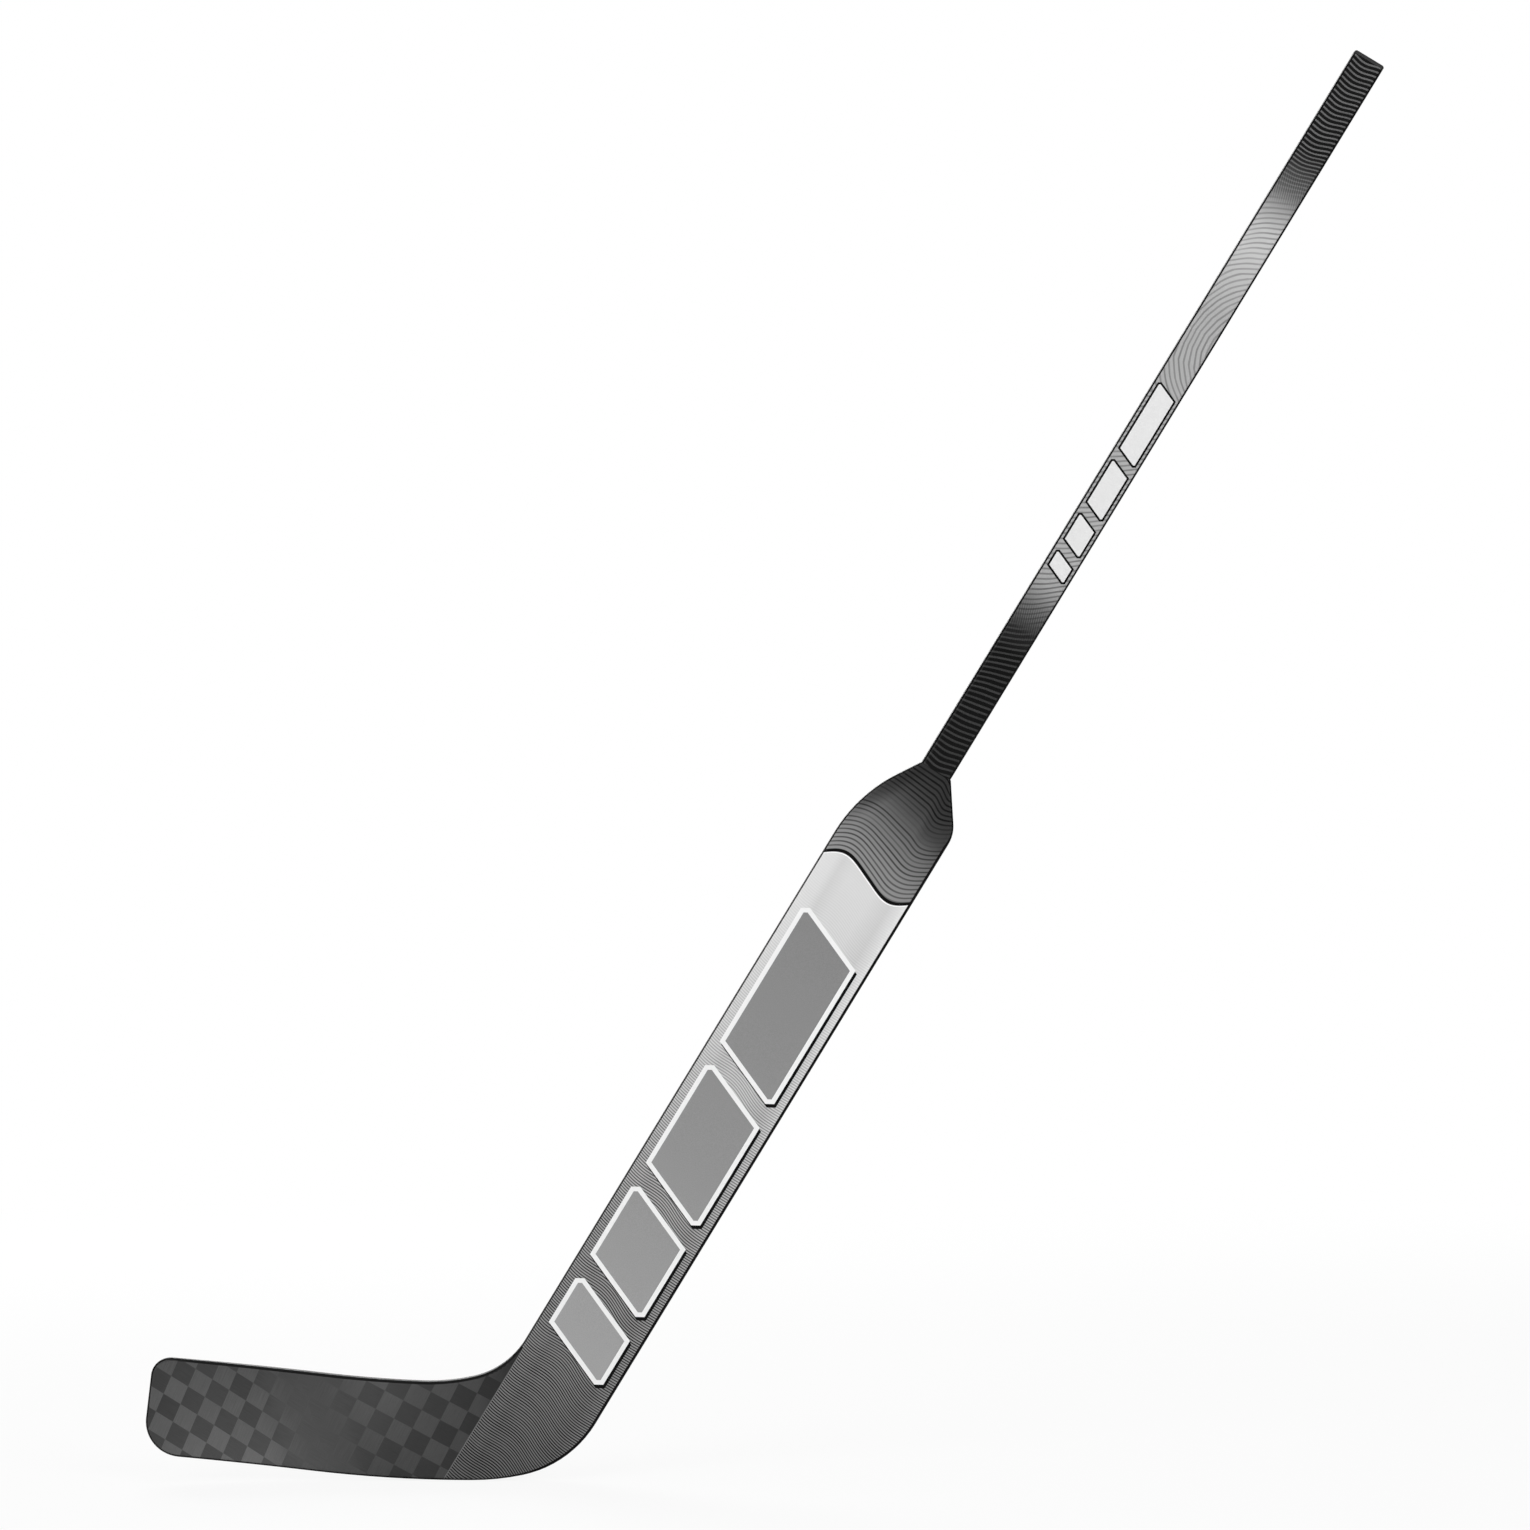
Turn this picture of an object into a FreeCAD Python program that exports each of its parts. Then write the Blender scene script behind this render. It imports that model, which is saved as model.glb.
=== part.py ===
import FreeCAD, Part
import Sketcher
import math
import os

# Hockey goalie stick, millimetres. It stands as it does in play: sole on the ice, toe at -X,
# handle leaning to +X, puck side of the blade at -Y. The origin is the grip of the lower hand,
# on the handle's axis just above the paddle.

DRIVING_SIZES = {
    # Stance
    "lie_angle": 58.66,
    "grip_rise": 60.0,
    # Handle
    "handle_length": 716.0,
    "handle_width": 29.0,
    "handle_thickness": 20.0,
    "handle_corner": 3.5,
    "handle_wall": 2.0,
    "handle_offset": 2.7,
    "tongue_length": 130.0,
    "tongue_relief": 0.4,
    "bung_length": 60.0,
    "bung_clearance": 0.1,
    # Butt cap
    "cap_flange": 3.0,
    "cap_chamfer": 1.0,
    "cap_stem": 26.0,
    "cap_wall": 1.8,
    "cap_clearance": 0.1,
    # Paddle outline
    "paddle_length": 714.0,
    "paddle_width": 89.0,
    "shoulder_lap": 0.5,
    "toe_shoulder_radius": 130.0,
    "toe_shoulder_angle": 32.0,
    "heel_shoulder_radius": 30.0,
    "heel_shoulder_angle": 34.7,
    # Blade outline
    "blade_height": 84.0,
    "blade_straight": 146.0,
    "blade_rise": 6.7,
    "sole_rocker": 1172.0,
    "heel_blend_radius": 215.0,
    "heel_blend_angle": 11.5,
    "heel_radius": 96.0,
    "throat_blend_radius": 172.0,
    "throat_blend_angle": 13.0,
    "throat_radius": 69.0,
    "toe_top_radius": 16.0,
    "toe_bottom_radius": 31.0,
    # Seam between paddle and blade
    "seam_height": 108.0,
    "seam_inset": 2.0,
    # Thickness and the blade's curve
    "heel_thickness": 14.0,
    "heel_flat": 20.0,
    "toe_thickness": 7.0,
    "curve_offset": 22.0,
    "feather_length": 40.0,
    "feather_step": 0.3,
    # Laminate, edge rails and webs
    "skin_thickness": 1.0,
    "edge_round": 3.0,
    "skin_inset": 3.5,
    "rail_depth": 7.0,
    "web_thickness": 2.0,
    # Tenon across the seam
    "tenon_height": 24.0,
    "tenon_thickness": 7.0,
    "tenon_in_blade": 55.0,
    "tenon_in_paddle": 28.0,
    "tenon_corner": 4.0,
    "glue_gap": 0.15,
}

doc = FreeCAD.newDocument("goalie_stick")
sizes = doc.addObject("Spreadsheet::Sheet", "sizes")
for row, (alias, number) in enumerate(DRIVING_SIZES.items(), start=1):
    sizes.set(f"A{row}", alias.replace("_", " "))
    sizes.set(f"B{row}", str(number))
    sizes.setAlias(f"B{row}", alias)
doc.recompute()

# Places worked out from the driving sizes, along the stick's own axes
LEAN = "(90 - sizes.lie_angle)"
SHOULDER_TOP = "(-sizes.grip_rise)"
ICE_LEVEL = "(-sizes.grip_rise - sizes.paddle_length)"
TOE_EDGE = "(-sizes.handle_offset - sizes.paddle_width / 2)"
HEEL_EDGE = "(-sizes.handle_offset + sizes.paddle_width / 2)"
SEAM = f"({TOE_EDGE} + sizes.seam_inset)"
SEAM_TOP = f"({ICE_LEVEL} + sizes.seam_height)"
TONGUE_END = f"({SHOULDER_TOP} - sizes.tongue_length)"
TONGUE_HALF_WIDTH = "(sizes.handle_width / 2 - sizes.tongue_relief)"
TONGUE_HALF_DEPTH = "(sizes.handle_thickness / 2 - sizes.tongue_relief)"
TONGUE_CORNER = "(sizes.handle_corner - sizes.tongue_relief)"
LAP_HALF_WIDTH = "(sizes.handle_width / 2 + sizes.shoulder_lap)"

# Blocks that reach past every edge of the stick
REACH = "(sizes.paddle_length + sizes.blade_straight)"
FLOOR = f"({ICE_LEVEL} - {REACH})"
BLOCK_DEPTH = "(4 * (sizes.curve_offset + sizes.handle_thickness))"
PADDLE_SPAN = "(4 * sizes.paddle_width)"
BLADE_SPAN = "(6 * sizes.blade_height)"

# Sides of a layer: which face it follows, and how far under that face it lies
FRONT = "-1"
BACK = "1"
OUTSIDE = "0"
INSIDE = "sizes.skin_thickness"

# Limits for telling faces and edges apart
SAME_PLACE = 0.01
WALL_TILT = 0.5

# Where the sole touches the ice, measured along the ice from the foot of the paddle's centre line
HEEL_BLEND_STEP = "(sizes.heel_blend_radius - sizes.heel_radius)"
HEEL_CENTRE_RISE = (
    f"(sizes.heel_blend_radius - {HEEL_BLEND_STEP} * cos(sizes.heel_blend_angle))"
)
SOLE_CONTACT = (
    f"((sizes.paddle_width / 2 - sizes.heel_radius + {HEEL_CENTRE_RISE} * cos(sizes.lie_angle))"
    f" / sin(sizes.lie_angle) - {HEEL_BLEND_STEP} * sin(sizes.heel_blend_angle))"
)
SEAM_FOOT = "(-(sizes.paddle_width / 2 - sizes.seam_inset) / sin(sizes.lie_angle))"


def value(expression):
    return float(sizes.evalExpression(expression))


def local_axes(name, x_place, z_place, turn):
    axes = doc.addObject("Part::LocalCoordinateSystem", name)
    axes.Placement = FreeCAD.Placement(FreeCAD.Vector(), FreeCAD.Rotation(FreeCAD.Vector(0, 1, 0), 1))
    axes.setExpression("Placement.Base.x", x_place)
    axes.setExpression("Placement.Base.z", z_place)
    axes.setExpression("Placement.Rotation.Angle", turn)
    return axes


ICE_X = f"({ICE_LEVEL} * sin({LEAN}) - sizes.handle_offset * cos({LEAN}))"
ICE_Z = f"({ICE_LEVEL} * cos({LEAN}) + sizes.handle_offset * sin({LEAN}))"
# Handle and paddle axis, and the straight part of the blade
stick_axes = local_axes("stick_axes", "0", "0", LEAN)
blade_axes = local_axes(
    "blade_axes",
    f"{ICE_X} + {SOLE_CONTACT} - sizes.sole_rocker * sin(sizes.blade_rise)",
    f"{ICE_Z} + sizes.sole_rocker * (1 - cos(sizes.blade_rise))",
    "sizes.blade_rise",
)
doc.recompute()


def new_sketch(name, axes, plane):
    sketch = doc.addObject("Sketcher::SketchObject", name)
    sketch.AttachmentSupport = [(axes, "")]
    sketch.MapMode = plane
    return sketch


def drive(sketch, kind, where, expression, angle=False):
    """Adds a driving dimension that follows an expression of the sheet's sizes."""
    number = value(expression)
    constraint = Sketcher.Constraint(kind, *where, math.radians(number) if angle else number)
    index = sketch.addConstraint(constraint)
    sketch.setExpression(f"Constraints[{index}]", f"({expression}) * 1 deg" if angle else expression)


def drive_point(sketch, place, x_expression, y_expression):
    """Ties a point to the sketch origin; each distance is measured the way that makes it positive."""
    for kind, expression in (("DistanceX", x_expression), ("DistanceY", y_expression)):
        if value(expression) >= 0:
            drive(sketch, kind, (-1, 1, *place), expression)
        else:
            drive(sketch, kind, (*place, -1, 1), f"-({expression})")


def polygon(name, axes, plane, corners):
    """A closed polygon whose corners are pairs of expressions."""
    sketch = new_sketch(name, axes, plane)
    points = [FreeCAD.Vector(value(x), value(y), 0) for x, y in corners]
    count = len(points)
    for index in range(count):
        sketch.addGeometry(Part.LineSegment(points[index], points[(index + 1) % count]))
    for index in range(count):
        sketch.addConstraint(Sketcher.Constraint("Coincident", index, 2, (index + 1) % count, 1))
    for index, (x, y) in enumerate(corners):
        drive_point(sketch, (index, 1), x, y)
    return sketch


def extrude(name, profile, length):
    block = doc.addObject("Part::Extrusion", name)
    block.Base = profile
    block.DirMode = "Normal"
    block.Symmetric = True
    block.Solid = True
    block.setExpression("LengthFwd", length)
    return block


def slab(name, axes, left, right, bottom, top):
    """A rectangular block in the plane of the stick, through its whole thickness."""
    corners = [(left, bottom), (right, bottom), (right, top), (left, top)]
    return extrude(name, polygon(name + "_sketch", axes, "ObjectXZ", corners), BLOCK_DEPTH)


def common(name, first, second):
    piece = doc.addObject("Part::Common", name)
    piece.Base = first
    piece.Tool = second
    return piece


def cut(name, first, second):
    piece = doc.addObject("Part::Cut", name)
    piece.Base = first
    piece.Tool = second
    return piece


def fuse(name, *pieces):
    joined = doc.addObject("Part::MultiFuse", name)
    joined.Shapes = list(pieces)
    joined.Refine = True
    return joined


class Chain:
    """Lines and arcs drawn end to end in a sketch, each tangent to the next unless it is a corner."""

    def __init__(self, sketch):
        self.sketch = sketch
        self.links = []

    def line(self, start, end):
        index = self.sketch.addGeometry(Part.LineSegment(start, end))
        self.links.append((index, 1, 2))
        return index

    def arc(self, centre, start, end, turns_left=True):
        radius = (start - centre).Length
        first, last = (start, end) if turns_left else (end, start)
        first_angle = math.atan2(first.y - centre.y, first.x - centre.x)
        last_angle = math.atan2(last.y - centre.y, last.x - centre.x)
        circle = Part.Circle(centre, FreeCAD.Vector(0, 0, 1), radius)
        index = self.sketch.addGeometry(Part.ArcOfCircle(circle, first_angle, last_angle))
        self.links.append((index, 1, 2) if turns_left else (index, 2, 1))
        return index

    def close(self, corners_after=()):
        for place, (index, _, end) in enumerate(self.links):
            follower, start, _ = self.links[(place + 1) % len(self.links)]
            kind = "Coincident" if index in corners_after else "Tangent"
            self.sketch.addConstraint(Sketcher.Constraint(kind, index, end, follower, start))


def guide_line(sketch, start, end):
    return sketch.addGeometry(Part.LineSegment(start, end), True)


def stick_outline():
    """Front view of paddle and blade as one closed outline, run past the top of the shoulder."""
    sketch = new_sketch("outline", stick_axes, "ObjectXZ")
    overrun = "(2 * sizes.rail_depth)"
    top = f"({SHOULDER_TOP} + {overrun})"
    lean = math.radians(value(LEAN))
    foot = FreeCAD.Vector(value("-sizes.handle_offset"), value(ICE_LEVEL), 0)

    def turned(x, y, angle=0.0):
        """A step given along and above the ice, or the blade, in the sketch's own directions."""
        across = math.cos(lean + angle)
        up = math.sin(lean + angle)
        return FreeCAD.Vector(x * across - y * up, x * up + y * across, 0)

    toe_x = value(TOE_EDGE)
    heel_x = value(HEEL_EDGE)
    top_y = value(top)
    rocker = value("sizes.sole_rocker")
    top_edge = rocker - value("sizes.blade_height")
    contact = foot + turned(value(SOLE_CONTACT), 0)
    rocker_centre = contact + turned(0, rocker)

    # Heel: a wide blend off the ice, then the heel round up to the back edge
    blend_radius = value("sizes.heel_blend_radius")
    heel_radius = value("sizes.heel_radius")
    blend_centre = contact + turned(0, blend_radius)
    blend_way = turned(0, -1, math.radians(value("sizes.heel_blend_angle")))
    heel_joint = blend_centre + blend_way * blend_radius
    heel_centre = heel_joint - blend_way * heel_radius
    heel_top = heel_centre + FreeCAD.Vector(heel_radius, 0, 0)

    def shoulder(edge_x, corner, slope, radius):
        """Foot, centre and head of a shoulder's round, and the top of its slope past the handle."""
        side = math.copysign(1, edge_x)
        slope_foot = corner.y - (edge_x - corner.x) * side / math.tan(slope)
        foot = FreeCAD.Vector(edge_x, slope_foot - radius * math.tan(slope / 2), 0)
        centre = foot - FreeCAD.Vector(side * radius, 0, 0)
        head = centre + FreeCAD.Vector(side * math.cos(slope), math.sin(slope), 0) * radius
        slope_top = FreeCAD.Vector(corner.x - side * (top_y - corner.y) * math.tan(slope), top_y, 0)
        return foot, centre, head, slope_top

    # Shoulders: a short round at the heel side and a long one at the toe side, with straight slopes
    heel_corner = FreeCAD.Vector(value(LAP_HALF_WIDTH), value(SHOULDER_TOP), 0)
    toe_corner = FreeCAD.Vector(-heel_corner.x, heel_corner.y, 0)
    short_foot, short_centre, short_head, heel_slope_top = shoulder(
        heel_x, heel_corner,
        math.radians(value("sizes.heel_shoulder_angle")), value("sizes.heel_shoulder_radius"),
    )
    long_foot, long_centre, long_head, toe_slope_top = shoulder(
        toe_x, toe_corner,
        math.radians(value("sizes.toe_shoulder_angle")), value("sizes.toe_shoulder_radius"),
    )

    # Throat: the paddle's edge rounds into the blade's top edge
    throat_radius = value("sizes.throat_radius")
    wide_radius = value("sizes.throat_blend_radius")
    throat_way = turned(0, -1, math.radians(value("sizes.throat_blend_angle")))
    wide_x = toe_x - throat_radius - throat_way.x * (wide_radius - throat_radius)
    wide_drop = math.sqrt((top_edge - wide_radius) ** 2 - (wide_x - rocker_centre.x) ** 2)
    wide_centre = FreeCAD.Vector(wide_x, rocker_centre.y - wide_drop, 0)
    throat_centre = wide_centre + throat_way * (wide_radius - throat_radius)
    throat_start = throat_centre + FreeCAD.Vector(throat_radius, 0, 0)
    throat_joint = wide_centre + throat_way * wide_radius
    wide_way = (wide_centre - rocker_centre).normalize()
    wide_end = rocker_centre + wide_way * top_edge

    # Blade: rocker arcs about one centre, then straight to a square toe with two rounds
    rise = -math.radians(value("sizes.blade_rise"))
    toe = -value("sizes.blade_straight")
    toe_top = value("sizes.toe_top_radius")
    toe_bottom = value("sizes.toe_bottom_radius")

    def on_blade(along, down):
        return rocker_centre + turned(along, -down, rise)

    chain = Chain(sketch)
    heel_edge = chain.line(heel_top, short_foot)
    heel_round = chain.arc(short_centre, short_foot, short_head)
    heel_slope = chain.line(short_head, heel_slope_top)
    top_line = chain.line(heel_slope_top, toe_slope_top)
    toe_slope = chain.line(toe_slope_top, long_head)
    toe_round = chain.arc(long_centre, long_head, long_foot)
    toe_edge = chain.line(long_foot, throat_start)
    throat = chain.arc(throat_centre, throat_start, throat_joint, turns_left=False)
    throat_blend = chain.arc(wide_centre, throat_joint, wide_end, turns_left=False)
    top_arc = chain.arc(rocker_centre, wide_end, on_blade(0, top_edge), turns_left=False)
    top_straight = chain.line(on_blade(0, top_edge), on_blade(toe + toe_top, top_edge))
    toe_top_round = chain.arc(
        on_blade(toe + toe_top, top_edge + toe_top),
        on_blade(toe + toe_top, top_edge),
        on_blade(toe, top_edge + toe_top),
    )
    toe_line = chain.line(on_blade(toe, top_edge + toe_top), on_blade(toe, rocker - toe_bottom))
    toe_bottom_round = chain.arc(
        on_blade(toe + toe_bottom, rocker - toe_bottom),
        on_blade(toe, rocker - toe_bottom),
        on_blade(toe + toe_bottom, rocker),
    )
    sole_straight = chain.line(on_blade(toe + toe_bottom, rocker), on_blade(0, rocker))
    sole_arc = chain.arc(rocker_centre, on_blade(0, rocker), contact)
    heel_blend = chain.arc(blend_centre, contact, heel_joint)
    heel = chain.arc(heel_centre, heel_joint, heel_top)
    chain.close(corners_after=(heel_slope, top_line))

    # Guide lines: along the ice to the contact point, and the radii whose angles are set
    ice_guide = guide_line(sketch, contact, foot)
    sole_guide = guide_line(sketch, contact, rocker_centre)
    heel_guide = guide_line(sketch, heel_joint, blend_centre)
    throat_guide = guide_line(sketch, throat_joint, wide_centre)
    heel_mark = sketch.addGeometry(Part.Point(heel_corner), True)
    toe_mark = sketch.addGeometry(Part.Point(toe_corner), True)
    toe_reach = guide_line(sketch, on_blade(0, rocker), on_blade(toe, rocker))
    ties = [
        ("Vertical", heel_edge),
        ("Vertical", toe_edge),
        ("Horizontal", top_line),
        ("Perpendicular", toe_line, sole_straight),
        ("Coincident", top_arc, 3, sole_arc, 3),
        ("Coincident", ice_guide, 1, sole_arc, 2),
        ("Coincident", sole_guide, 1, sole_arc, 2),
        ("Coincident", sole_guide, 2, sole_arc, 3),
        ("Coincident", heel_guide, 1, heel, 1),
        ("Coincident", heel_guide, 2, heel_blend, 3),
        ("Coincident", throat_guide, 1, throat, 1),
        ("Coincident", throat_guide, 2, throat_blend, 3),
        ("Coincident", toe_reach, 1, sole_arc, 1),
        ("PointOnObject", toe_reach, 2, toe_line),
        ("Parallel", toe_reach, sole_straight),
        ("Parallel", top_straight, sole_straight),
        ("PointOnObject", heel_mark, 1, heel_slope),
        ("PointOnObject", toe_mark, 1, toe_slope),
    ]
    for tie in ties:
        sketch.addConstraint(Sketcher.Constraint(*tie))
    drive_point(sketch, (ice_guide, 2), "-sizes.handle_offset", ICE_LEVEL)
    drive_point(sketch, (heel_mark, 1), LAP_HALF_WIDTH, SHOULDER_TOP)
    drive_point(sketch, (toe_mark, 1), f"-{LAP_HALF_WIDTH}", SHOULDER_TOP)
    drive(sketch, "DistanceX", (-1, 1, heel_edge, 1), HEEL_EDGE)
    drive(sketch, "DistanceX", (toe_edge, 1, -1, 1), f"-{TOE_EDGE}")
    drive(sketch, "DistanceY", (top_line, 1, -1, 1), f"-{top}")
    drive(sketch, "Distance", (toe_reach,), "sizes.blade_straight")
    radii = {
        heel_round: "sizes.heel_shoulder_radius",
        toe_round: "sizes.toe_shoulder_radius",
        throat: "sizes.throat_radius",
        throat_blend: "sizes.throat_blend_radius",
        top_arc: "sizes.sole_rocker - sizes.blade_height",
        toe_top_round: "sizes.toe_top_radius",
        toe_bottom_round: "sizes.toe_bottom_radius",
        sole_arc: "sizes.sole_rocker",
        heel_blend: "sizes.heel_blend_radius",
        heel: "sizes.heel_radius",
    }
    for arc, radius in radii.items():
        drive(sketch, "Radius", (arc,), radius)
    angles = {
        ice_guide: LEAN,
        sole_guide: f"{LEAN} + 90",
        heel_guide: f"{LEAN} + 90 + sizes.heel_blend_angle",
        throat_guide: f"{LEAN} + 90 + sizes.throat_blend_angle",
        sole_straight: f"{LEAN} - sizes.blade_rise",
        heel_slope: "90 + sizes.heel_shoulder_angle",
        toe_slope: "-90 - sizes.toe_shoulder_angle",
    }
    for line, angle in angles.items():
        drive(sketch, "Angle", (line,), angle, angle=True)
    return sketch


def inset_outline(name, outline, inset):
    inner = doc.addObject("Part::Offset2D", name)
    inner.Source = outline
    inner.setExpression("Value", f"-({inset})")
    return inner


def paddle_side(side, inset):
    """Half of the paddle's edge view: even at the heel, swelling to the tongue of the handle."""
    heel = f"({side} * (sizes.heel_thickness / 2 - {inset}))"
    shoulder = f"({side} * ({TONGUE_HALF_DEPTH} + sizes.skin_thickness - {inset}))"
    lip = f"({side} * (sizes.handle_thickness / 2 + sizes.feather_step))"
    points = [
        (heel, f"{ICE_LEVEL} - sizes.paddle_width"),
        (heel, f"{SEAM_TOP} + sizes.heel_flat"),
        (shoulder, TONGUE_END),
    ]
    if inset == OUTSIDE:
        points += [(shoulder, f"{SHOULDER_TOP} - sizes.feather_length"), (lip, SHOULDER_TOP)]
    else:
        points.append((shoulder, SHOULDER_TOP))
    return points


def paddle_layer(name, first, second):
    """A layer of the paddle between two curves of its edge view, as wide as the paddle and more."""
    corners = paddle_side(*first) + paddle_side(*second)[::-1]
    profile = polygon(name + "_sketch", stick_axes, "ObjectYZ", corners)
    return extrude(name, profile, PADDLE_SPAN)


def blade_layer(name, first, second):
    """A layer of the blade between two curves of its plan: flat from the seam, then bent to the toe."""
    sketch = new_sketch(name + "_sketch", blade_axes, "ObjectXY")
    root = REACH
    toe = "-sizes.blade_straight"
    places = []
    for side, inset in (first, second):
        flat = f"({side} * (sizes.heel_thickness / 2 - {inset}))"
        tip = f"({side} * (sizes.toe_thickness / 2 - {inset}) - sizes.curve_offset)"
        fall = value(flat) - value(tip)
        radius = (value(toe) ** 2 + fall**2) / (2 * fall)
        places.append({
            "flat": flat,
            "tip": tip,
            "root": FreeCAD.Vector(value(root), value(flat), 0),
            "bend": FreeCAD.Vector(0, value(flat), 0),
            "end": FreeCAD.Vector(value(toe), value(tip), 0),
            "centre": FreeCAD.Vector(0, value(flat) - radius, 0),
        })
    front, back = places
    chain = Chain(sketch)
    front_flat = chain.line(front["root"], front["bend"])
    front_curve = chain.arc(front["centre"], front["bend"], front["end"])
    toe_end = chain.line(front["end"], back["end"])
    back_curve = chain.arc(back["centre"], back["end"], back["bend"], turns_left=False)
    back_flat = chain.line(back["bend"], back["root"])
    root_end = chain.line(back["root"], front["root"])
    chain.close(corners_after=(front_curve, toe_end, back_flat, root_end))
    sketch.addConstraint(Sketcher.Constraint("Horizontal", front_flat))
    sketch.addConstraint(Sketcher.Constraint("Horizontal", back_flat))
    sketch.addConstraint(Sketcher.Constraint("PointOnObject", front_flat, 2, -2))
    sketch.addConstraint(Sketcher.Constraint("PointOnObject", back_flat, 1, -2))
    drive_point(sketch, (front_flat, 1), root, front["flat"])
    drive_point(sketch, (back_flat, 2), root, back["flat"])
    drive_point(sketch, (toe_end, 1), toe, front["tip"])
    drive_point(sketch, (toe_end, 2), toe, back["tip"])
    return extrude(name, sketch, BLADE_SPAN)


def is_wall(face):
    first_u, last_u, first_v, last_v = face.ParameterRange
    normal = face.normalAt((first_u + last_u) / 2, (first_v + last_v) / 2)
    return abs(normal.y) < WALL_TILT


def rim_edges(form):
    """Numbers of the edges between the outer wall and the two broad faces, short of the open top."""
    top = value(SHOULDER_TOP)
    lean = math.radians(value(LEAN))
    found = []
    for number, edge in enumerate(form.Shape.Edges, start=1):
        faces = form.Shape.ancestorsOfType(edge, Part.Face)
        heights = [v.X * math.sin(lean) + v.Z * math.cos(lean) for v in edge.Vertexes]
        at_top = all(abs(height - top) < SAME_PLACE for height in heights)
        if len(faces) == 2 and is_wall(faces[0]) != is_wall(faces[1]) and not at_top:
            found.append(number)
    return found


def rounded_rectangle(sketch, width, depth, radius):
    """A centred rectangle with round corners, as four lines and four equal arcs."""
    half_width = value(width) / 2
    half_depth = value(depth) / 2
    corner = value(radius)
    flat_x = half_width - corner
    flat_y = half_depth - corner
    point = FreeCAD.Vector
    chain = Chain(sketch)
    bottom = chain.line(point(-flat_x, -half_depth), point(flat_x, -half_depth))
    first = chain.arc(point(flat_x, -flat_y), point(flat_x, -half_depth), point(half_width, -flat_y))
    right = chain.line(point(half_width, -flat_y), point(half_width, flat_y))
    second = chain.arc(point(flat_x, flat_y), point(half_width, flat_y), point(flat_x, half_depth))
    top = chain.line(point(flat_x, half_depth), point(-flat_x, half_depth))
    third = chain.arc(point(-flat_x, flat_y), point(-flat_x, half_depth), point(-half_width, flat_y))
    left = chain.line(point(-half_width, flat_y), point(-half_width, -flat_y))
    fourth = chain.arc(point(-flat_x, -flat_y), point(-half_width, -flat_y), point(-flat_x, -half_depth))
    chain.close()
    for line in (bottom, top):
        sketch.addConstraint(Sketcher.Constraint("Horizontal", line))
    for line in (left, right):
        sketch.addConstraint(Sketcher.Constraint("Vertical", line))
    for arc in (second, third, fourth):
        sketch.addConstraint(Sketcher.Constraint("Equal", first, arc))
    drive(sketch, "Radius", (first,), radius)
    drive(sketch, "DistanceX", (-1, 1, right, 1), f"({width}) / 2")
    drive(sketch, "DistanceX", (left, 1, -1, 1), f"({width}) / 2")
    drive(sketch, "DistanceY", (-1, 1, top, 1), f"({depth}) / 2")
    drive(sketch, "DistanceY", (bottom, 1, -1, 1), f"({depth}) / 2")
    return sketch


def handle_body(name):
    body = doc.addObject("PartDesign::Body", name)
    body.Placement = FreeCAD.Placement(FreeCAD.Vector(), FreeCAD.Rotation(FreeCAD.Vector(0, 1, 0), 1))
    body.setExpression("Placement.Rotation.Angle", LEAN)
    return body


def section(body, name, height, width, depth, radius):
    """A round-cornered section of the handle, square to its axis at a height above the grip."""
    sketch = body.newObject("Sketcher::SketchObject", name)
    plane = next(item for item in body.Origin.OriginFeatures if item.Role == "XY_Plane")
    sketch.AttachmentSupport = [(plane, "")]
    sketch.MapMode = "FlatFace"
    sketch.setExpression("AttachmentOffset.Base.z", height)
    return rounded_rectangle(sketch, width, depth, radius)


def pad(body, name, sketch, length):
    feature = body.newObject("PartDesign::Pad", name)
    feature.Profile = sketch
    feature.setExpression("Length", length)
    return feature


def pocket_up(body, name, sketch, length):
    """Cuts along the handle towards the butt, from the sketch upwards."""
    feature = body.newObject("PartDesign::Pocket", name)
    feature.Profile = sketch
    feature.Reversed = True
    feature.setExpression("Length", length)
    return feature


BORE_WIDTH = "sizes.handle_width - 2 * sizes.handle_wall"
BORE_DEPTH = "sizes.handle_thickness - 2 * sizes.handle_wall"
BORE_CORNER = "sizes.handle_corner - sizes.handle_wall"
CAP_SEAT = f"({SHOULDER_TOP} + sizes.handle_length - sizes.cap_flange)"


def handle_tube():
    """Hollow handle with a slightly smaller tongue that is bonded inside the paddle."""
    body = handle_body("handle_tube")
    outer = section(
        body, "handle_section", SHOULDER_TOP,
        "sizes.handle_width", "sizes.handle_thickness", "sizes.handle_corner",
    )
    pad(body, "handle_pad", outer, "sizes.handle_length - sizes.cap_flange")
    tongue = section(
        body, "tongue_section", TONGUE_END,
        f"2 * {TONGUE_HALF_WIDTH}", f"2 * {TONGUE_HALF_DEPTH}", TONGUE_CORNER,
    )
    pad(body, "tongue_pad", tongue, "sizes.tongue_length")
    bore = section(body, "bore_section", TONGUE_END, BORE_WIDTH, BORE_DEPTH, BORE_CORNER)
    pocket_up(body, "bore", bore, "sizes.tongue_length + sizes.handle_length")
    return body


def tube_bung():
    """Foam stopper that closes the lower end of the handle's bore."""
    body = handle_body("tube_bung")
    fit = "2 * sizes.bung_clearance"
    profile = section(
        body, "bung_section", TONGUE_END,
        f"{BORE_WIDTH} - {fit}", f"{BORE_DEPTH} - {fit}", f"{BORE_CORNER} - sizes.bung_clearance",
    )
    pad(body, "bung_pad", profile, "sizes.bung_length")
    return body


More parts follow.
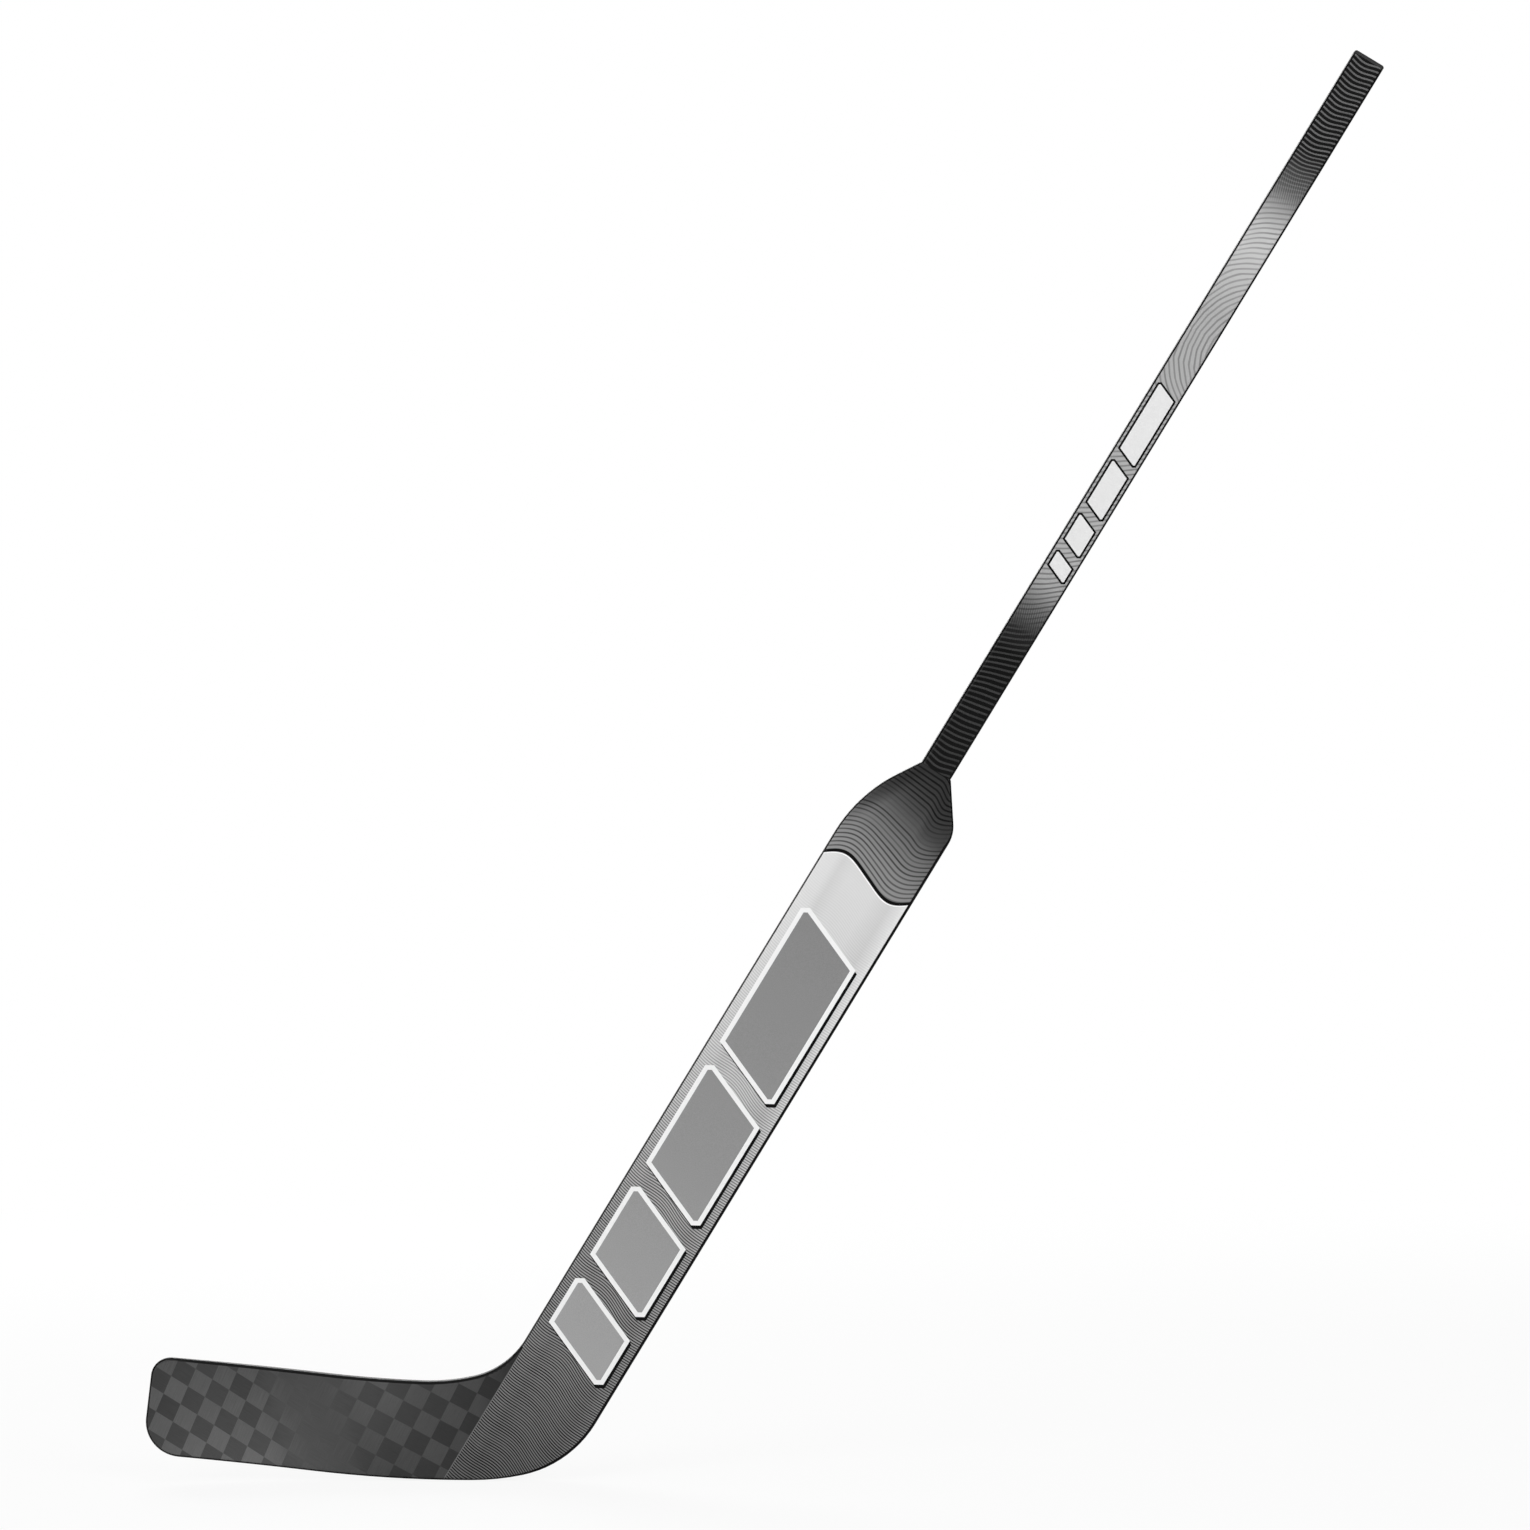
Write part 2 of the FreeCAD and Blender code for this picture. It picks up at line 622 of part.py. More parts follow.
def butt_cap():
    """Moulded end cap: a flange flush with the handle, and a hollow stem pushed into its bore."""
    body = handle_body("butt_cap")
    flange = section(
        body, "flange_section", CAP_SEAT,
        "sizes.handle_width", "sizes.handle_thickness", "sizes.handle_corner",
    )
    pad(body, "flange_pad", flange, "sizes.cap_flange")
    stem_foot = f"{CAP_SEAT} - sizes.cap_stem"
    fit = "2 * sizes.cap_clearance"
    stem = section(
        body, "stem_section", stem_foot,
        f"{BORE_WIDTH} - {fit}", f"{BORE_DEPTH} - {fit}", f"{BORE_CORNER} - sizes.cap_clearance",
    )
    pad(body, "stem_pad", stem, "sizes.cap_stem")
    hollow = section(
        body, "stem_hollow_section", stem_foot,
        f"{BORE_WIDTH} - {fit} - 2 * sizes.cap_wall", f"{BORE_DEPTH} - {fit} - 2 * sizes.cap_wall",
        f"({BORE_CORNER} - sizes.cap_clearance) / 2",
    )
    stem_hollow = pocket_up(body, "stem_hollow", hollow, "sizes.cap_stem")
    doc.recompute()
    end = value(f"{CAP_SEAT} + sizes.cap_flange")
    rim = [
        f"Edge{number}"
        for number, edge in enumerate(stem_hollow.Shape.Edges, start=1)
        if all(abs(corner.Z - end) < SAME_PLACE for corner in edge.Vertexes)
    ]
    bevel = body.newObject("PartDesign::Chamfer", "cap_bevel")
    bevel.Base = (stem_hollow, rim)
    bevel.setExpression("Size", "sizes.cap_chamfer")
    return body


# One rounded form for paddle and blade, which the laminate pieces are then taken from
outline = stick_outline()
skin_outline = inset_outline("skin_outline", outline, "sizes.skin_inset")
core_outline = inset_outline("core_outline", outline, "sizes.rail_depth")
outline_block = extrude("outline_block", outline, BLOCK_DEPTH)
skin_block = extrude("skin_block", skin_outline, BLOCK_DEPTH)
core_block = extrude("core_block", core_outline, BLOCK_DEPTH)
blade_zone = slab("blade_zone", stick_axes, f"-{REACH}", SEAM, FLOOR, SEAM_TOP)
paddle_full = paddle_layer("paddle_full", (FRONT, OUTSIDE), (BACK, OUTSIDE))
blade_full = blade_layer("blade_full", (FRONT, OUTSIDE), (BACK, OUTSIDE))
paddle_form = cut("paddle_form", common("paddle_block", outline_block, paddle_full), blade_zone)
blade_form = common("blade_form", common("blade_block", outline_block, blade_full), blade_zone)
sharp_form = fuse("sharp_form", paddle_form, blade_form)
doc.recompute()
round_form = doc.addObject("Part::Fillet", "round_form")
round_form.Base = sharp_form
edge_round = value("sizes.edge_round")
round_form.Edges = [(number, edge_round, edge_round) for number in rim_edges(sharp_form)]

# Skins
paddle_front_layer = paddle_layer("paddle_front_layer", (FRONT, OUTSIDE), (FRONT, INSIDE))
paddle_back_layer = paddle_layer("paddle_back_layer", (BACK, INSIDE), (BACK, OUTSIDE))
blade_front_layer = blade_layer("blade_front_layer", (FRONT, OUTSIDE), (FRONT, INSIDE))
blade_back_layer = blade_layer("blade_back_layer", (BACK, INSIDE), (BACK, OUTSIDE))
front_sheet = common("front_sheet", skin_block, paddle_front_layer)
back_sheet = common("back_sheet", skin_block, paddle_back_layer)
front_leaf = common("front_leaf", skin_block, blade_front_layer)
back_leaf = common("back_leaf", skin_block, blade_back_layer)
paddle_front_skin = cut("paddle_front_skin", front_sheet, blade_zone)
paddle_back_skin = cut("paddle_back_skin", back_sheet, blade_zone)
blade_front_skin = common("blade_front_skin", front_leaf, blade_zone)
blade_back_skin = common("blade_back_skin", back_leaf, blade_zone)

# Tenon across the seam, and the pocket that it is glued into
SEAM_MIDDLE = f"({SEAM_FOOT} + sizes.blade_height / 2 / tan(sizes.lie_angle))"
tenon_axes = local_axes(
    "tenon_axes",
    f"{ICE_X} + {SEAM_MIDDLE} + (sizes.tenon_in_paddle - sizes.tenon_in_blade) / 2",
    f"{ICE_Z} + sizes.blade_height / 2",
    "0",
)
doc.recompute()


def tenon_block(name, gap):
    profile = rounded_rectangle(
        new_sketch(name + "_sketch", tenon_axes, "ObjectXZ"),
        f"sizes.tenon_in_paddle + sizes.tenon_in_blade + 2 * {gap}",
        f"sizes.tenon_height + 2 * {gap}",
        f"sizes.tenon_corner + {gap}",
    )
    return extrude(name, profile, f"sizes.tenon_thickness + 2 * {gap}")


NO_GAP = "0"
joint_tenon = tenon_block("joint_tenon", NO_GAP)
tenon_pocket = tenon_block("tenon_pocket", "sizes.glue_gap")

# Foam cores and the webs between them, under the skins
paddle_inner = paddle_layer("paddle_inner", (FRONT, INSIDE), (BACK, INSIDE))
blade_inner = blade_layer("blade_inner", (FRONT, INSIDE), (BACK, INSIDE))
paddle_filling = cut("paddle_filling", common("paddle_inside", core_block, paddle_inner), blade_zone)
blade_filling = common("blade_filling", common("blade_inside", core_block, blade_inner), blade_zone)
paddle_pocketed = cut("paddle_pocketed", paddle_filling, tenon_pocket)
blade_pocketed = cut("blade_pocketed", blade_filling, tenon_pocket)

# Places across the paddle where cores and webs meet, from the toe side to the heel side
WEB_INNER = f"({TONGUE_HALF_WIDTH} - sizes.web_thickness)"
PADDLE_STEPS = [f"-{REACH}", f"-{TONGUE_HALF_WIDTH}", f"-{WEB_INNER}", WEB_INNER, TONGUE_HALF_WIDTH, REACH]


def paddle_strip(name, step, top):
    left, right = PADDLE_STEPS[step:step + 2]
    zone = slab(name + "_zone", stick_axes, left, right, FLOOR, top)
    return common(name, paddle_pocketed, zone)


paddle_core_toe_side = paddle_strip("paddle_core_toe_side", 0, SHOULDER_TOP)
paddle_web_toe_side = paddle_strip("paddle_web_toe_side", 1, TONGUE_END)
paddle_core_centre = paddle_strip("paddle_core_centre", 2, TONGUE_END)
paddle_web_heel_side = paddle_strip("paddle_web_heel_side", 3, TONGUE_END)
paddle_core_heel_side = paddle_strip("paddle_core_heel_side", 4, SHOULDER_TOP)

WEB_LOW = "((sizes.blade_height - sizes.web_thickness) / 2)"
WEB_HIGH = "((sizes.blade_height + sizes.web_thickness) / 2)"


def blade_strip(name, bottom, top):
    zone = slab(name + "_zone", blade_axes, f"-{REACH}", REACH, bottom, top)
    return common(name, blade_pocketed, zone)


blade_core_lower = blade_strip("blade_core_lower", f"-{REACH}", WEB_LOW)
blade_web = blade_strip("blade_web", WEB_LOW, WEB_HIGH)
blade_core_upper = blade_strip("blade_core_upper", WEB_HIGH, REACH)

# Edge rails: what is left of the form round the skins, the cores and the tongue
all_skins = fuse("all_skins", paddle_front_skin, paddle_back_skin, blade_front_skin, blade_back_skin)
socket_section = new_sketch("socket_section", stick_axes, "ObjectXY")
socket_section.setExpression("AttachmentOffset.Base.z", SHOULDER_TOP)
rounded_rectangle(
    socket_section, f"2 * {TONGUE_HALF_WIDTH}", f"2 * {TONGUE_HALF_DEPTH}", TONGUE_CORNER
)
tongue_zone = extrude("tongue_zone", socket_section, "2 * sizes.tongue_length")
rim = cut("rim", cut("open_rim", round_form, core_block), all_skins)
rails = cut("rails", rim, tongue_zone)
paddle_rails = cut("paddle_rails", rails, blade_zone)
toe_side_zone = slab(
    "toe_side_zone", stick_axes, f"-{REACH}", "0", f"{SEAM_TOP} - sizes.seam_height / 2",
    f"{SHOULDER_TOP} + sizes.tongue_length",
)
toe_side_rail = common("toe_side_rail", paddle_rails, toe_side_zone)
heel_side_rail = cut("heel_side_rail", paddle_rails, toe_side_zone)
blade_edge_band = common("blade_edge_band", rails, blade_zone)

nodes = [
    butt_cap(),
    handle_tube(),
    tube_bung(),
    paddle_front_skin,
    paddle_back_skin,
    toe_side_rail,
    heel_side_rail,
    paddle_core_toe_side,
    paddle_web_toe_side,
    paddle_core_centre,
    paddle_web_heel_side,
    paddle_core_heel_side,
    joint_tenon,
    blade_front_skin,
    blade_back_skin,
    blade_edge_band,
    blade_core_upper,
    blade_web,
    blade_core_lower,
]
doc.recompute()

failed = [item.Label for item in doc.Objects if "Invalid" in item.State or "Error" in item.State]
failed += [node.Label for node in nodes if node.Shape.isNull() or not node.Shape.isValid()]
if failed:
    raise RuntimeError("failed objects: " + ", ".join(failed))
os.makedirs("parts", exist_ok=True)
for node in nodes:
    node.Shape.exportStep(f"parts/{node.Label}.step")
    print(node.Label, len(node.Shape.Solids), "solid,", round(node.Shape.Volume), "mm3")
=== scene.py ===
import bmesh
import bpy
import math
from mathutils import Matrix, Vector


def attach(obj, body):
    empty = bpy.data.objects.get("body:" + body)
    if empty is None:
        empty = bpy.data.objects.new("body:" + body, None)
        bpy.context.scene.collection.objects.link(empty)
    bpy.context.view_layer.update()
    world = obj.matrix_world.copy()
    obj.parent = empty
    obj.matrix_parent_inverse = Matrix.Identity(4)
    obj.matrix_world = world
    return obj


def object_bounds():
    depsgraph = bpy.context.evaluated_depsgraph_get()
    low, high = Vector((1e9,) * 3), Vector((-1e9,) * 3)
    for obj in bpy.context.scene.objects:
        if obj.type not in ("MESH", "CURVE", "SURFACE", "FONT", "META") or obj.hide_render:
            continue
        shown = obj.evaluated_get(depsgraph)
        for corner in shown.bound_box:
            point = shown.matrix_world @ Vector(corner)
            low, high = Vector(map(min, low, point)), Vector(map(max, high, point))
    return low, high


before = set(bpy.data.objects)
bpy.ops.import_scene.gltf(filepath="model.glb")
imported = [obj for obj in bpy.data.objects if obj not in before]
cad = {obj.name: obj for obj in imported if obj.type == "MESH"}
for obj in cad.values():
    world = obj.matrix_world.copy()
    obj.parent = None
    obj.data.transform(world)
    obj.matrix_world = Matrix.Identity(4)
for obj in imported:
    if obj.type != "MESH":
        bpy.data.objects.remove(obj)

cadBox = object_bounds()
print("frame loaded:", len(cad), "nodes")

stick = {
    "lean": math.radians(31.34),                    # handle from upright, towards +X
    "handleFace": ((-60.0, 10.0), (656.0, 10.0)),   # millimetres along, half the thickness there
    "paddleFace": ((-646.0, 7.0), (-190.0, 10.6)),  # the faces are flat between the two places
}
acrossWay = Vector((math.cos(stick["lean"]), 0, -math.sin(stick["lean"])))
alongWay = Vector((math.sin(stick["lean"]), 0, math.cos(stick["lean"])))
millimetre = 0.001


def shade(level):  # grey as seen on screen, 0 to 255, into linear light by the sRGB curve
    part = level / 255
    return part / 12.92 if part <= 0.04045 else ((part + 0.055) / 1.055) ** 2.4


def grey(level):
    return (shade(level),) * 3 + (1.0,)


# node helpers


def feed(tree, socket, value):
    if isinstance(value, bpy.types.NodeSocket):
        tree.links.new(value, socket)
    else:
        socket.default_value = value


def addNode(tree, kind, inputs=None, **settings):
    node = tree.nodes.new("ShaderNode" + kind)
    for name, value in settings.items():
        setattr(node, name, value)
    for name, value in (inputs or {}).items():
        feed(tree, node.inputs[name], value)
    return node


def maths(tree, operation, *values):  # from the third on, each value is applied to the result so far
    node = addNode(tree, "Math", dict(enumerate(values[:2])), operation=operation)
    if len(values) > 2:
        return maths(tree, operation, node.outputs[0], *values[2:])
    return node.outputs[0]


def objectPoint(tree):
    return addNode(tree, "TexCoord").outputs["Object"]


def pointAt(tree, x, y):
    return addNode(tree, "CombineXYZ", {"X": x, "Y": y}).outputs[0]


def axisOf(tree, vector, letter):
    return addNode(tree, "SeparateXYZ", {0: vector}).outputs[letter]


def dot(tree, point, way):
    return addNode(tree, "VectorMath", {0: point, 1: tuple(way)}, operation="DOT_PRODUCT").outputs["Value"]


def noise(tree, point, scale, detail=2.0):
    return addNode(tree, "TexNoise", {"Vector": point, "Scale": scale, "Detail": detail}).outputs["Fac"]


def swing(tree, value, size):  # a value from 0 to 1, made to swing about nought
    return maths(tree, "MULTIPLY", maths(tree, "SUBTRACT", value, 0.5), size)


def remap(tree, value, fromLow, fromHigh, toLow=0.0, toHigh=1.0, smooth=True):
    kind = "SMOOTHSTEP" if smooth else "LINEAR"
    inputs = {
        "Value": value,
        "From Min": fromLow,
        "From Max": fromHigh,
        "To Min": toLow,
        "To Max": toHigh,
    }
    return addNode(tree, "MapRange", inputs, interpolation_type=kind).outputs[0]


def blendTone(tree, mask, first, second):
    return addNode(tree, "Mix", {"Factor": mask, "A": first, "B": second}).outputs[0]


def toneRamp(tree, place, stops):  # stops are (millimetres, grey level), lowest place first
    low, high = stops[0][0], stops[-1][0]
    ramp = addNode(tree, "ValToRGB", {"Fac": remap(tree, place, low, high, smooth=False)})
    elements = ramp.color_ramp.elements
    elements[0].color = grey(stops[0][1])
    elements[1].color = grey(stops[-1][1])
    for where, level in stops[1:-1]:
        elements.new((where - low) / (high - low)).color = grey(level)
    return ramp.outputs["Color"]


def steps(tree, along, stops, smooth=True):  # a value that changes with the place along the stick
    total = stops[0][1]
    for (low, before), (high, after) in zip(stops, stops[1:]):
        total = maths(tree, "ADD", remap(tree, along, low, high, 0.0, after - before, smooth), total)
    return total


def band(tree, value, low, high, soft):  # 1 between low and high
    rise = remap(tree, value, low - soft, low + soft)
    fall = remap(tree, value, high - soft, high + soft, 1.0, 0.0)
    return maths(tree, "MULTIPLY", rise, fall)


def newGroup(name, inputs, outputs):
    group = bpy.data.node_groups.new(name, "ShaderNodeTree")
    for label, value in inputs.items():
        socket = group.interface.new_socket(label, in_out="INPUT", socket_type="NodeSocketFloat")
        socket.default_value = value
    for label in outputs:
        group.interface.new_socket(label, in_out="OUTPUT", socket_type="NodeSocketFloat")
    start = group.nodes.new("NodeGroupInput")
    end = group.nodes.new("NodeGroupOutput")
    return group, start.outputs, end.inputs


def useGroup(tree, group, **inputs):
    node = tree.nodes.new("ShaderNodeGroup")
    node.node_tree = group
    for name, value in inputs.items():
        feed(tree, node.inputs[name], value)
    return node.outputs


# shared effects


def makeStickPlace():  # millimetres across and along the stick, from the lower grip
    group, _, end = newGroup("stickPlace", {}, ["Across", "Along"])
    point = objectPoint(group)
    for label, way in (("Across", acrossWay), ("Along", alongWay)):
        feed(group, end[label], dot(group, point, way / millimetre))
    return group


def makeWave():  # the bend of a line that crosses the stick, skewed so that its middle runs straight
    inputs = {"Across": 0.0, "Swing": 4.0, "Span": 90.0, "Shift": 0.0, "Skew": 0.0}
    group, start, end = newGroup("wave", inputs, ["Rise"])
    turn = maths(group, "SUBTRACT", start["Across"], start["Shift"])
    turn = maths(group, "DIVIDE", maths(group, "MULTIPLY", turn, math.tau), start["Span"])
    twice = maths(group, "SINE", maths(group, "MULTIPLY", turn, 2.0))
    skewed = maths(group, "MULTIPLY", twice, start["Skew"])
    bend = maths(group, "SUBTRACT", maths(group, "SINE", turn), skewed)
    feed(group, end["Rise"], maths(group, "MULTIPLY", bend, start["Swing"]))
    return group


lineLook = {
    "wanderScale": 0.022,           # noise per millimetre that makes the lines wander
    "soft": 0.35,                   # of their edges, as a part of the ripple's height
    "patchAcross": 0.02,            # strong and weak stretches: noise per millimetre across
    "patchAlong": 0.55,             # and per line
    "patchRange": (0.38, 0.62),
}


def makeWavyLines():  # thin lines across the stick, bent by a wave, slightly uneven in course and strength
    inputs = {
        "Across": 0.0,
        "Along": 0.0,
        "Rise": 0.0,
        "Lean": 0.0,
        "Pitch": 5.0,
        "Share": 0.4,
        "Wander": 0.6,
        "Uneven": 0.0,
    }
    group, start, end = newGroup("wavyLines", inputs, ["Line"])
    across, along = start["Across"], start["Along"]
    tilt = maths(group, "MULTIPLY", across, start["Lean"])
    wander = noise(group, pointAt(group, across, along), lineLook["wanderScale"], 1.0)
    drift = swing(group, wander, start["Wander"])
    course = maths(group, "ADD", along, tilt, start["Rise"], drift)
    course = maths(group, "DIVIDE", course, start["Pitch"])
    ripple = maths(group, "COSINE", maths(group, "MULTIPLY", course, math.tau))
    edge = maths(group, "COSINE", maths(group, "MULTIPLY", start["Share"], math.pi))
    lower = maths(group, "SUBTRACT", edge, lineLook["soft"])
    upper = maths(group, "ADD", edge, lineLook["soft"])
    line = remap(group, ripple, lower, upper)
    patch = pointAt(
        group,
        maths(group, "MULTIPLY", across, lineLook["patchAcross"]),
        maths(group, "MULTIPLY", course, lineLook["patchAlong"]),
    )
    weak = remap(group, noise(group, patch, 1.0, 1.0), *lineLook["patchRange"])
    loss = maths(group, "MULTIPLY", weak, start["Uneven"])
    feed(group, end["Line"], maths(group, "MULTIPLY", line, maths(group, "SUBTRACT", 1.0, loss)))
    return group


def makeTurnedEdge():  # 1 where the surface turns away from the two broad faces
    group, start, end = newGroup("turnedEdge", {"Limit": 0.8, "Soft": 0.05}, ["Edge"])
    normal = addNode(group, "NewGeometry").outputs["Normal"]
    facing = maths(group, "ABSOLUTE", axisOf(group, normal, "Y"))
    lower = maths(group, "SUBTRACT", start["Limit"], start["Soft"])
    upper = maths(group, "ADD", start["Limit"], start["Soft"])
    feed(group, end["Edge"], remap(group, facing, lower, upper, 1.0, 0.0))
    return group


filmLook = {
    "peelScale": 420.0,             # noise per metre
    "cloudScale": 26.0,
}


def makeClearFilm():  # the lacquer's orange peel, and the faint step of the printed lines
    inputs = {"Line": 0.0, "Gloss": 0.34, "Spread": 0.1, "Step": 0.3}
    group, start, end = newGroup("clearFilm", inputs, ["Roughness", "Height"])
    point = objectPoint(group)
    peel = noise(group, point, filmLook["peelScale"])
    cloud = noise(group, point, filmLook["cloudScale"], 3.0)
    feed(group, end["Roughness"], maths(group, "ADD", start["Gloss"], swing(group, cloud, start["Spread"])))
    step = maths(group, "MULTIPLY", start["Line"], start["Step"])
    feed(group, end["Height"], maths(group, "ADD", peel, step))
    return group


stickPlace = makeStickPlace()
wave = makeWave()
wavyLines = makeWavyLines()
turnedEdge = makeTurnedEdge()
clearFilm = makeClearFilm()
print("shared effects made")


# lacquered surfaces


def newSurface(name, finish):
    material = bpy.data.materials.new(name)
    material.use_nodes = True
    tree = material.node_tree
    tree.nodes.clear()
    shader = addNode(tree, "BsdfPrincipled")
    output = addNode(tree, "OutputMaterial")
    tree.links.new(shader.outputs["BSDF"], output.inputs["Surface"])
    shader.inputs["Specular IOR Level"].default_value = finish["specular"]
    shader.inputs["Coat Weight"].default_value = finish["coat"]
    shader.inputs["Coat Roughness"].default_value = finish["coatRoughness"]
    return material, tree, shader


def dress(tree, shader, tone, roughness, height, look):
    bump = addNode(tree, "Bump", {"Height": height, "Strength": look["bump"]})
    bump.inputs["Distance"].default_value = look["bumpDepth"] * millimetre
    feed(tree, shader.inputs["Base Color"], tone)
    feed(tree, shader.inputs["Roughness"], roughness)
    feed(tree, shader.inputs["Normal"], bump.outputs["Normal"])


def lacquer(tree, shader, tone, line, finish):
    film = useGroup(
        tree, clearFilm, Line=line,
        Gloss=finish["gloss"], Spread=finish["spread"], Step=finish["step"],
    )
    dress(tree, shader, tone, film["Roughness"], film["Height"], finish)


satinFilm = {
    "specular": 0.08,
    "coat": 0.02,
    "coatRoughness": 0.25,
    "gloss": 0.4,
    "spread": 0.12,
    "step": 0.5,
    "bump": 0.35,
    "bumpDepth": 0.06,
}

handleLook = {                      # tones are (millimetres along, grey level)
    "tones": [
        # the print's tones, with a painted highlight where they rise from 440 to 500; the line tones rise
        # with it
        (-60, 14), (0, 10), (60, 8), (80, 34), (104, 104), (126, 158), (150, 168), (300, 168), (400, 168),
        (440, 184), (462, 191), (484, 186), (502, 158), (522, 98), (546, 36), (562, 8), (656, 6),
    ],
    "lineTones": [
        (-60, 56), (60, 58), (80, 62), (92, 64), (104, 72), (126, 104), (150, 119), (300, 124),
        (400, 128), (462, 154), (502, 124), (522, 112), (546, 100), (656, 98),
    ],
    "lines": {"Pitch": 5.1, "Share": 0.36, "Wander": 1.5, "Uneven": 0.2},
    "sags": [(-60, -1.8), (-20, -0.6), (30, 0.5), (110, -0.9), (440, 0.6), (462, 1.4), (560, -1.9)],
    "sagWave": {"Span": 34.0, "Shift": 6.0},
    "leans": [
        (-60, 0.0), (-20, -0.1), (60, -0.4), (110, -0.7), (315, -0.7), (340, -0.95), (372, -1.25),
        (410, -1.1), (445, -0.7), (465, -0.7), (560, -0.15), (640, 0.0),
    ],
    "squeeze": [                    # turns the lines along the handle from 440 down, packs them above 525
        (315, 131.0), (335, 93.0), (350, 67.0), (365, 47.0), (380, 31.0), (395, 19.0), (410, 10.0),
        (425, 4.0), (440, 0.0), (525, 0.0), (562, 15.0), (656, 33.0),
    ],
    "screens": [(74, 104), (512, 540)],     # along: a fine screen where light turns to dark
    "screenSoft": 8.0,
    "screenLines": {"Lean": 1.1, "Pitch": 2.2, "Share": 0.5, "Wander": 3.0},
    "screenGain": (1.3, 0.55),
    "edgeTone": 8,
    "edgeLimit": 0.86,
}


def makeHandleFilm():
    material, tree, shader = newSurface("handleFilm", satinFilm)
    place = useGroup(tree, stickPlace)
    across, along = place["Across"], place["Along"]
    sags = steps(tree, along, handleLook["sags"])
    sag = useGroup(tree, wave, Across=across, Swing=sags, **handleLook["sagWave"])["Rise"]
    lean = steps(tree, along, handleLook["leans"])
    rise = maths(tree, "ADD", sag, steps(tree, along, handleLook["squeeze"], smooth=False))
    line = useGroup(
        tree, wavyLines, Across=across, Along=along, Rise=rise, Lean=lean, **handleLook["lines"],
    )["Line"]
    tone = toneRamp(tree, along, handleLook["tones"])
    tone = blendTone(tree, line, tone, toneRamp(tree, along, handleLook["lineTones"]))
    screen = useGroup(tree, wavyLines, Across=across, Along=along, **handleLook["screenLines"])["Line"]
    gain = blendTone(tree, screen, *handleLook["screenGain"])
    for low, high in handleLook["screens"]:
        onScreen = band(tree, along, low, high, handleLook["screenSoft"])
        tone = blendTone(tree, onScreen, tone, maths(tree, "MULTIPLY", tone, gain))
    edge = useGroup(tree, turnedEdge, Limit=handleLook["edgeLimit"])["Edge"]
    tone = blendTone(tree, edge, tone, shade(handleLook["edgeTone"]))
    lacquer(tree, shader, tone, line, satinFilm)
    return material


paddleLook = {
    "border": -169.4,               # where the shoulder's dark film ends, along
    "borderWave": {"Swing": 8.36, "Span": 87.0, "Shift": -3.0, "Skew": 0.133},
    "borderSoft": 0.2,
    "keyline": (-0.3, 2.7),         # black, above the border
    "keylineTone": 5,
    "whiteLine": (-1.5, -0.3),      # white, under it
    "whiteLineTone": 240,
    "shoulderTones": [
        (-176, 142), (-150, 132), (-122, 106), (-105, 80), (-90, 64), (-76, 54), (-60, 46),
    ],
    "shoulderLineTones": [
        (-176, 84), (-150, 68), (-122, 42), (-105, 30), (-90, 16), (-76, 6), (-60, 6),
    ],
    "shoulderPaintedShadeLean": 0.35,           # painted shade: the heel side of the shoulder is darker
    "shoulderLines": {"Pitch": 4.28, "Share": 0.36, "Wander": 1.5, "Uneven": 0.2},
    "shoulderBend": [(-162, 1.0), (-62, 0.05)],     # share of the border's bend, along
    "heelSideBend": 0.9,
    "heelSideReach": (8, 24),       # across
    "shoulderStrength": [           # groups of strong and weak lines, along
        (-134, 1.0), (-130, 0.5), (-126, 0.5), (-124, 0.85), (-115, 0.85), (-111, 0.25), (-103, 0.25),
        (-99, 0.5), (-93, 0.5), (-88, 1.0),
    ],
    "heelSidePaintedShade": 11.0,          # painted shade on the heel side: the tone is that of a place so much further up
    "heelPaintedShadeAlong": (-124, -108),
    "heelPaintedShadeAcross": (11, 20),
    "toeSidePaintedShade": 26.0,           # painted shade beside the toe side's slope, made the same way
    "toePaintedShadeReach": (0, 18),       # millimetres in from the slope's edge
    "toeSideSlope": (0.5, 14.0),    # that edge lies at across = along * first + second
    "screenLines": {"Lean": 0.25, "Pitch": 2.2, "Share": 0.5, "Wander": 2.0, "Uneven": 0.12},
    "screenWave": {"Swing": 2.6, "Span": 64.0, "Shift": 6.0},
    "paintedSheenTones": [                 # painted sheen, soft light and dark streaks that run down the paddle: across, level against the middle level given next
        (-46, 219), (-35, 216), (-28, 205), (-17, 212), (9, 212), (26, 202), (33, 213), (40, 226),
    ],
    "paintedSheenLevel": 212,
    "screenLightTones": [
        (-780, 103), (-690, 122), (-600, 146), (-540, 156), (-480, 175), (-420, 190), (-360, 201),
        (-300, 207), (-240, 211), (-180, 212),
    ],
    "screenDarkTones": [
        (-780, 18), (-690, 26), (-600, 42), (-540, 52), (-480, 80), (-420, 122), (-360, 156),
        (-300, 182), (-240, 199), (-180, 209),
    ],
    "seam": (-45.3, -44.4),         # across: a thin line beside the blade's end
    "seamSoft": 0.15,
    "seamEnd": (-700, -640),        # it fades out here, along
    "seamTone": 104,
}


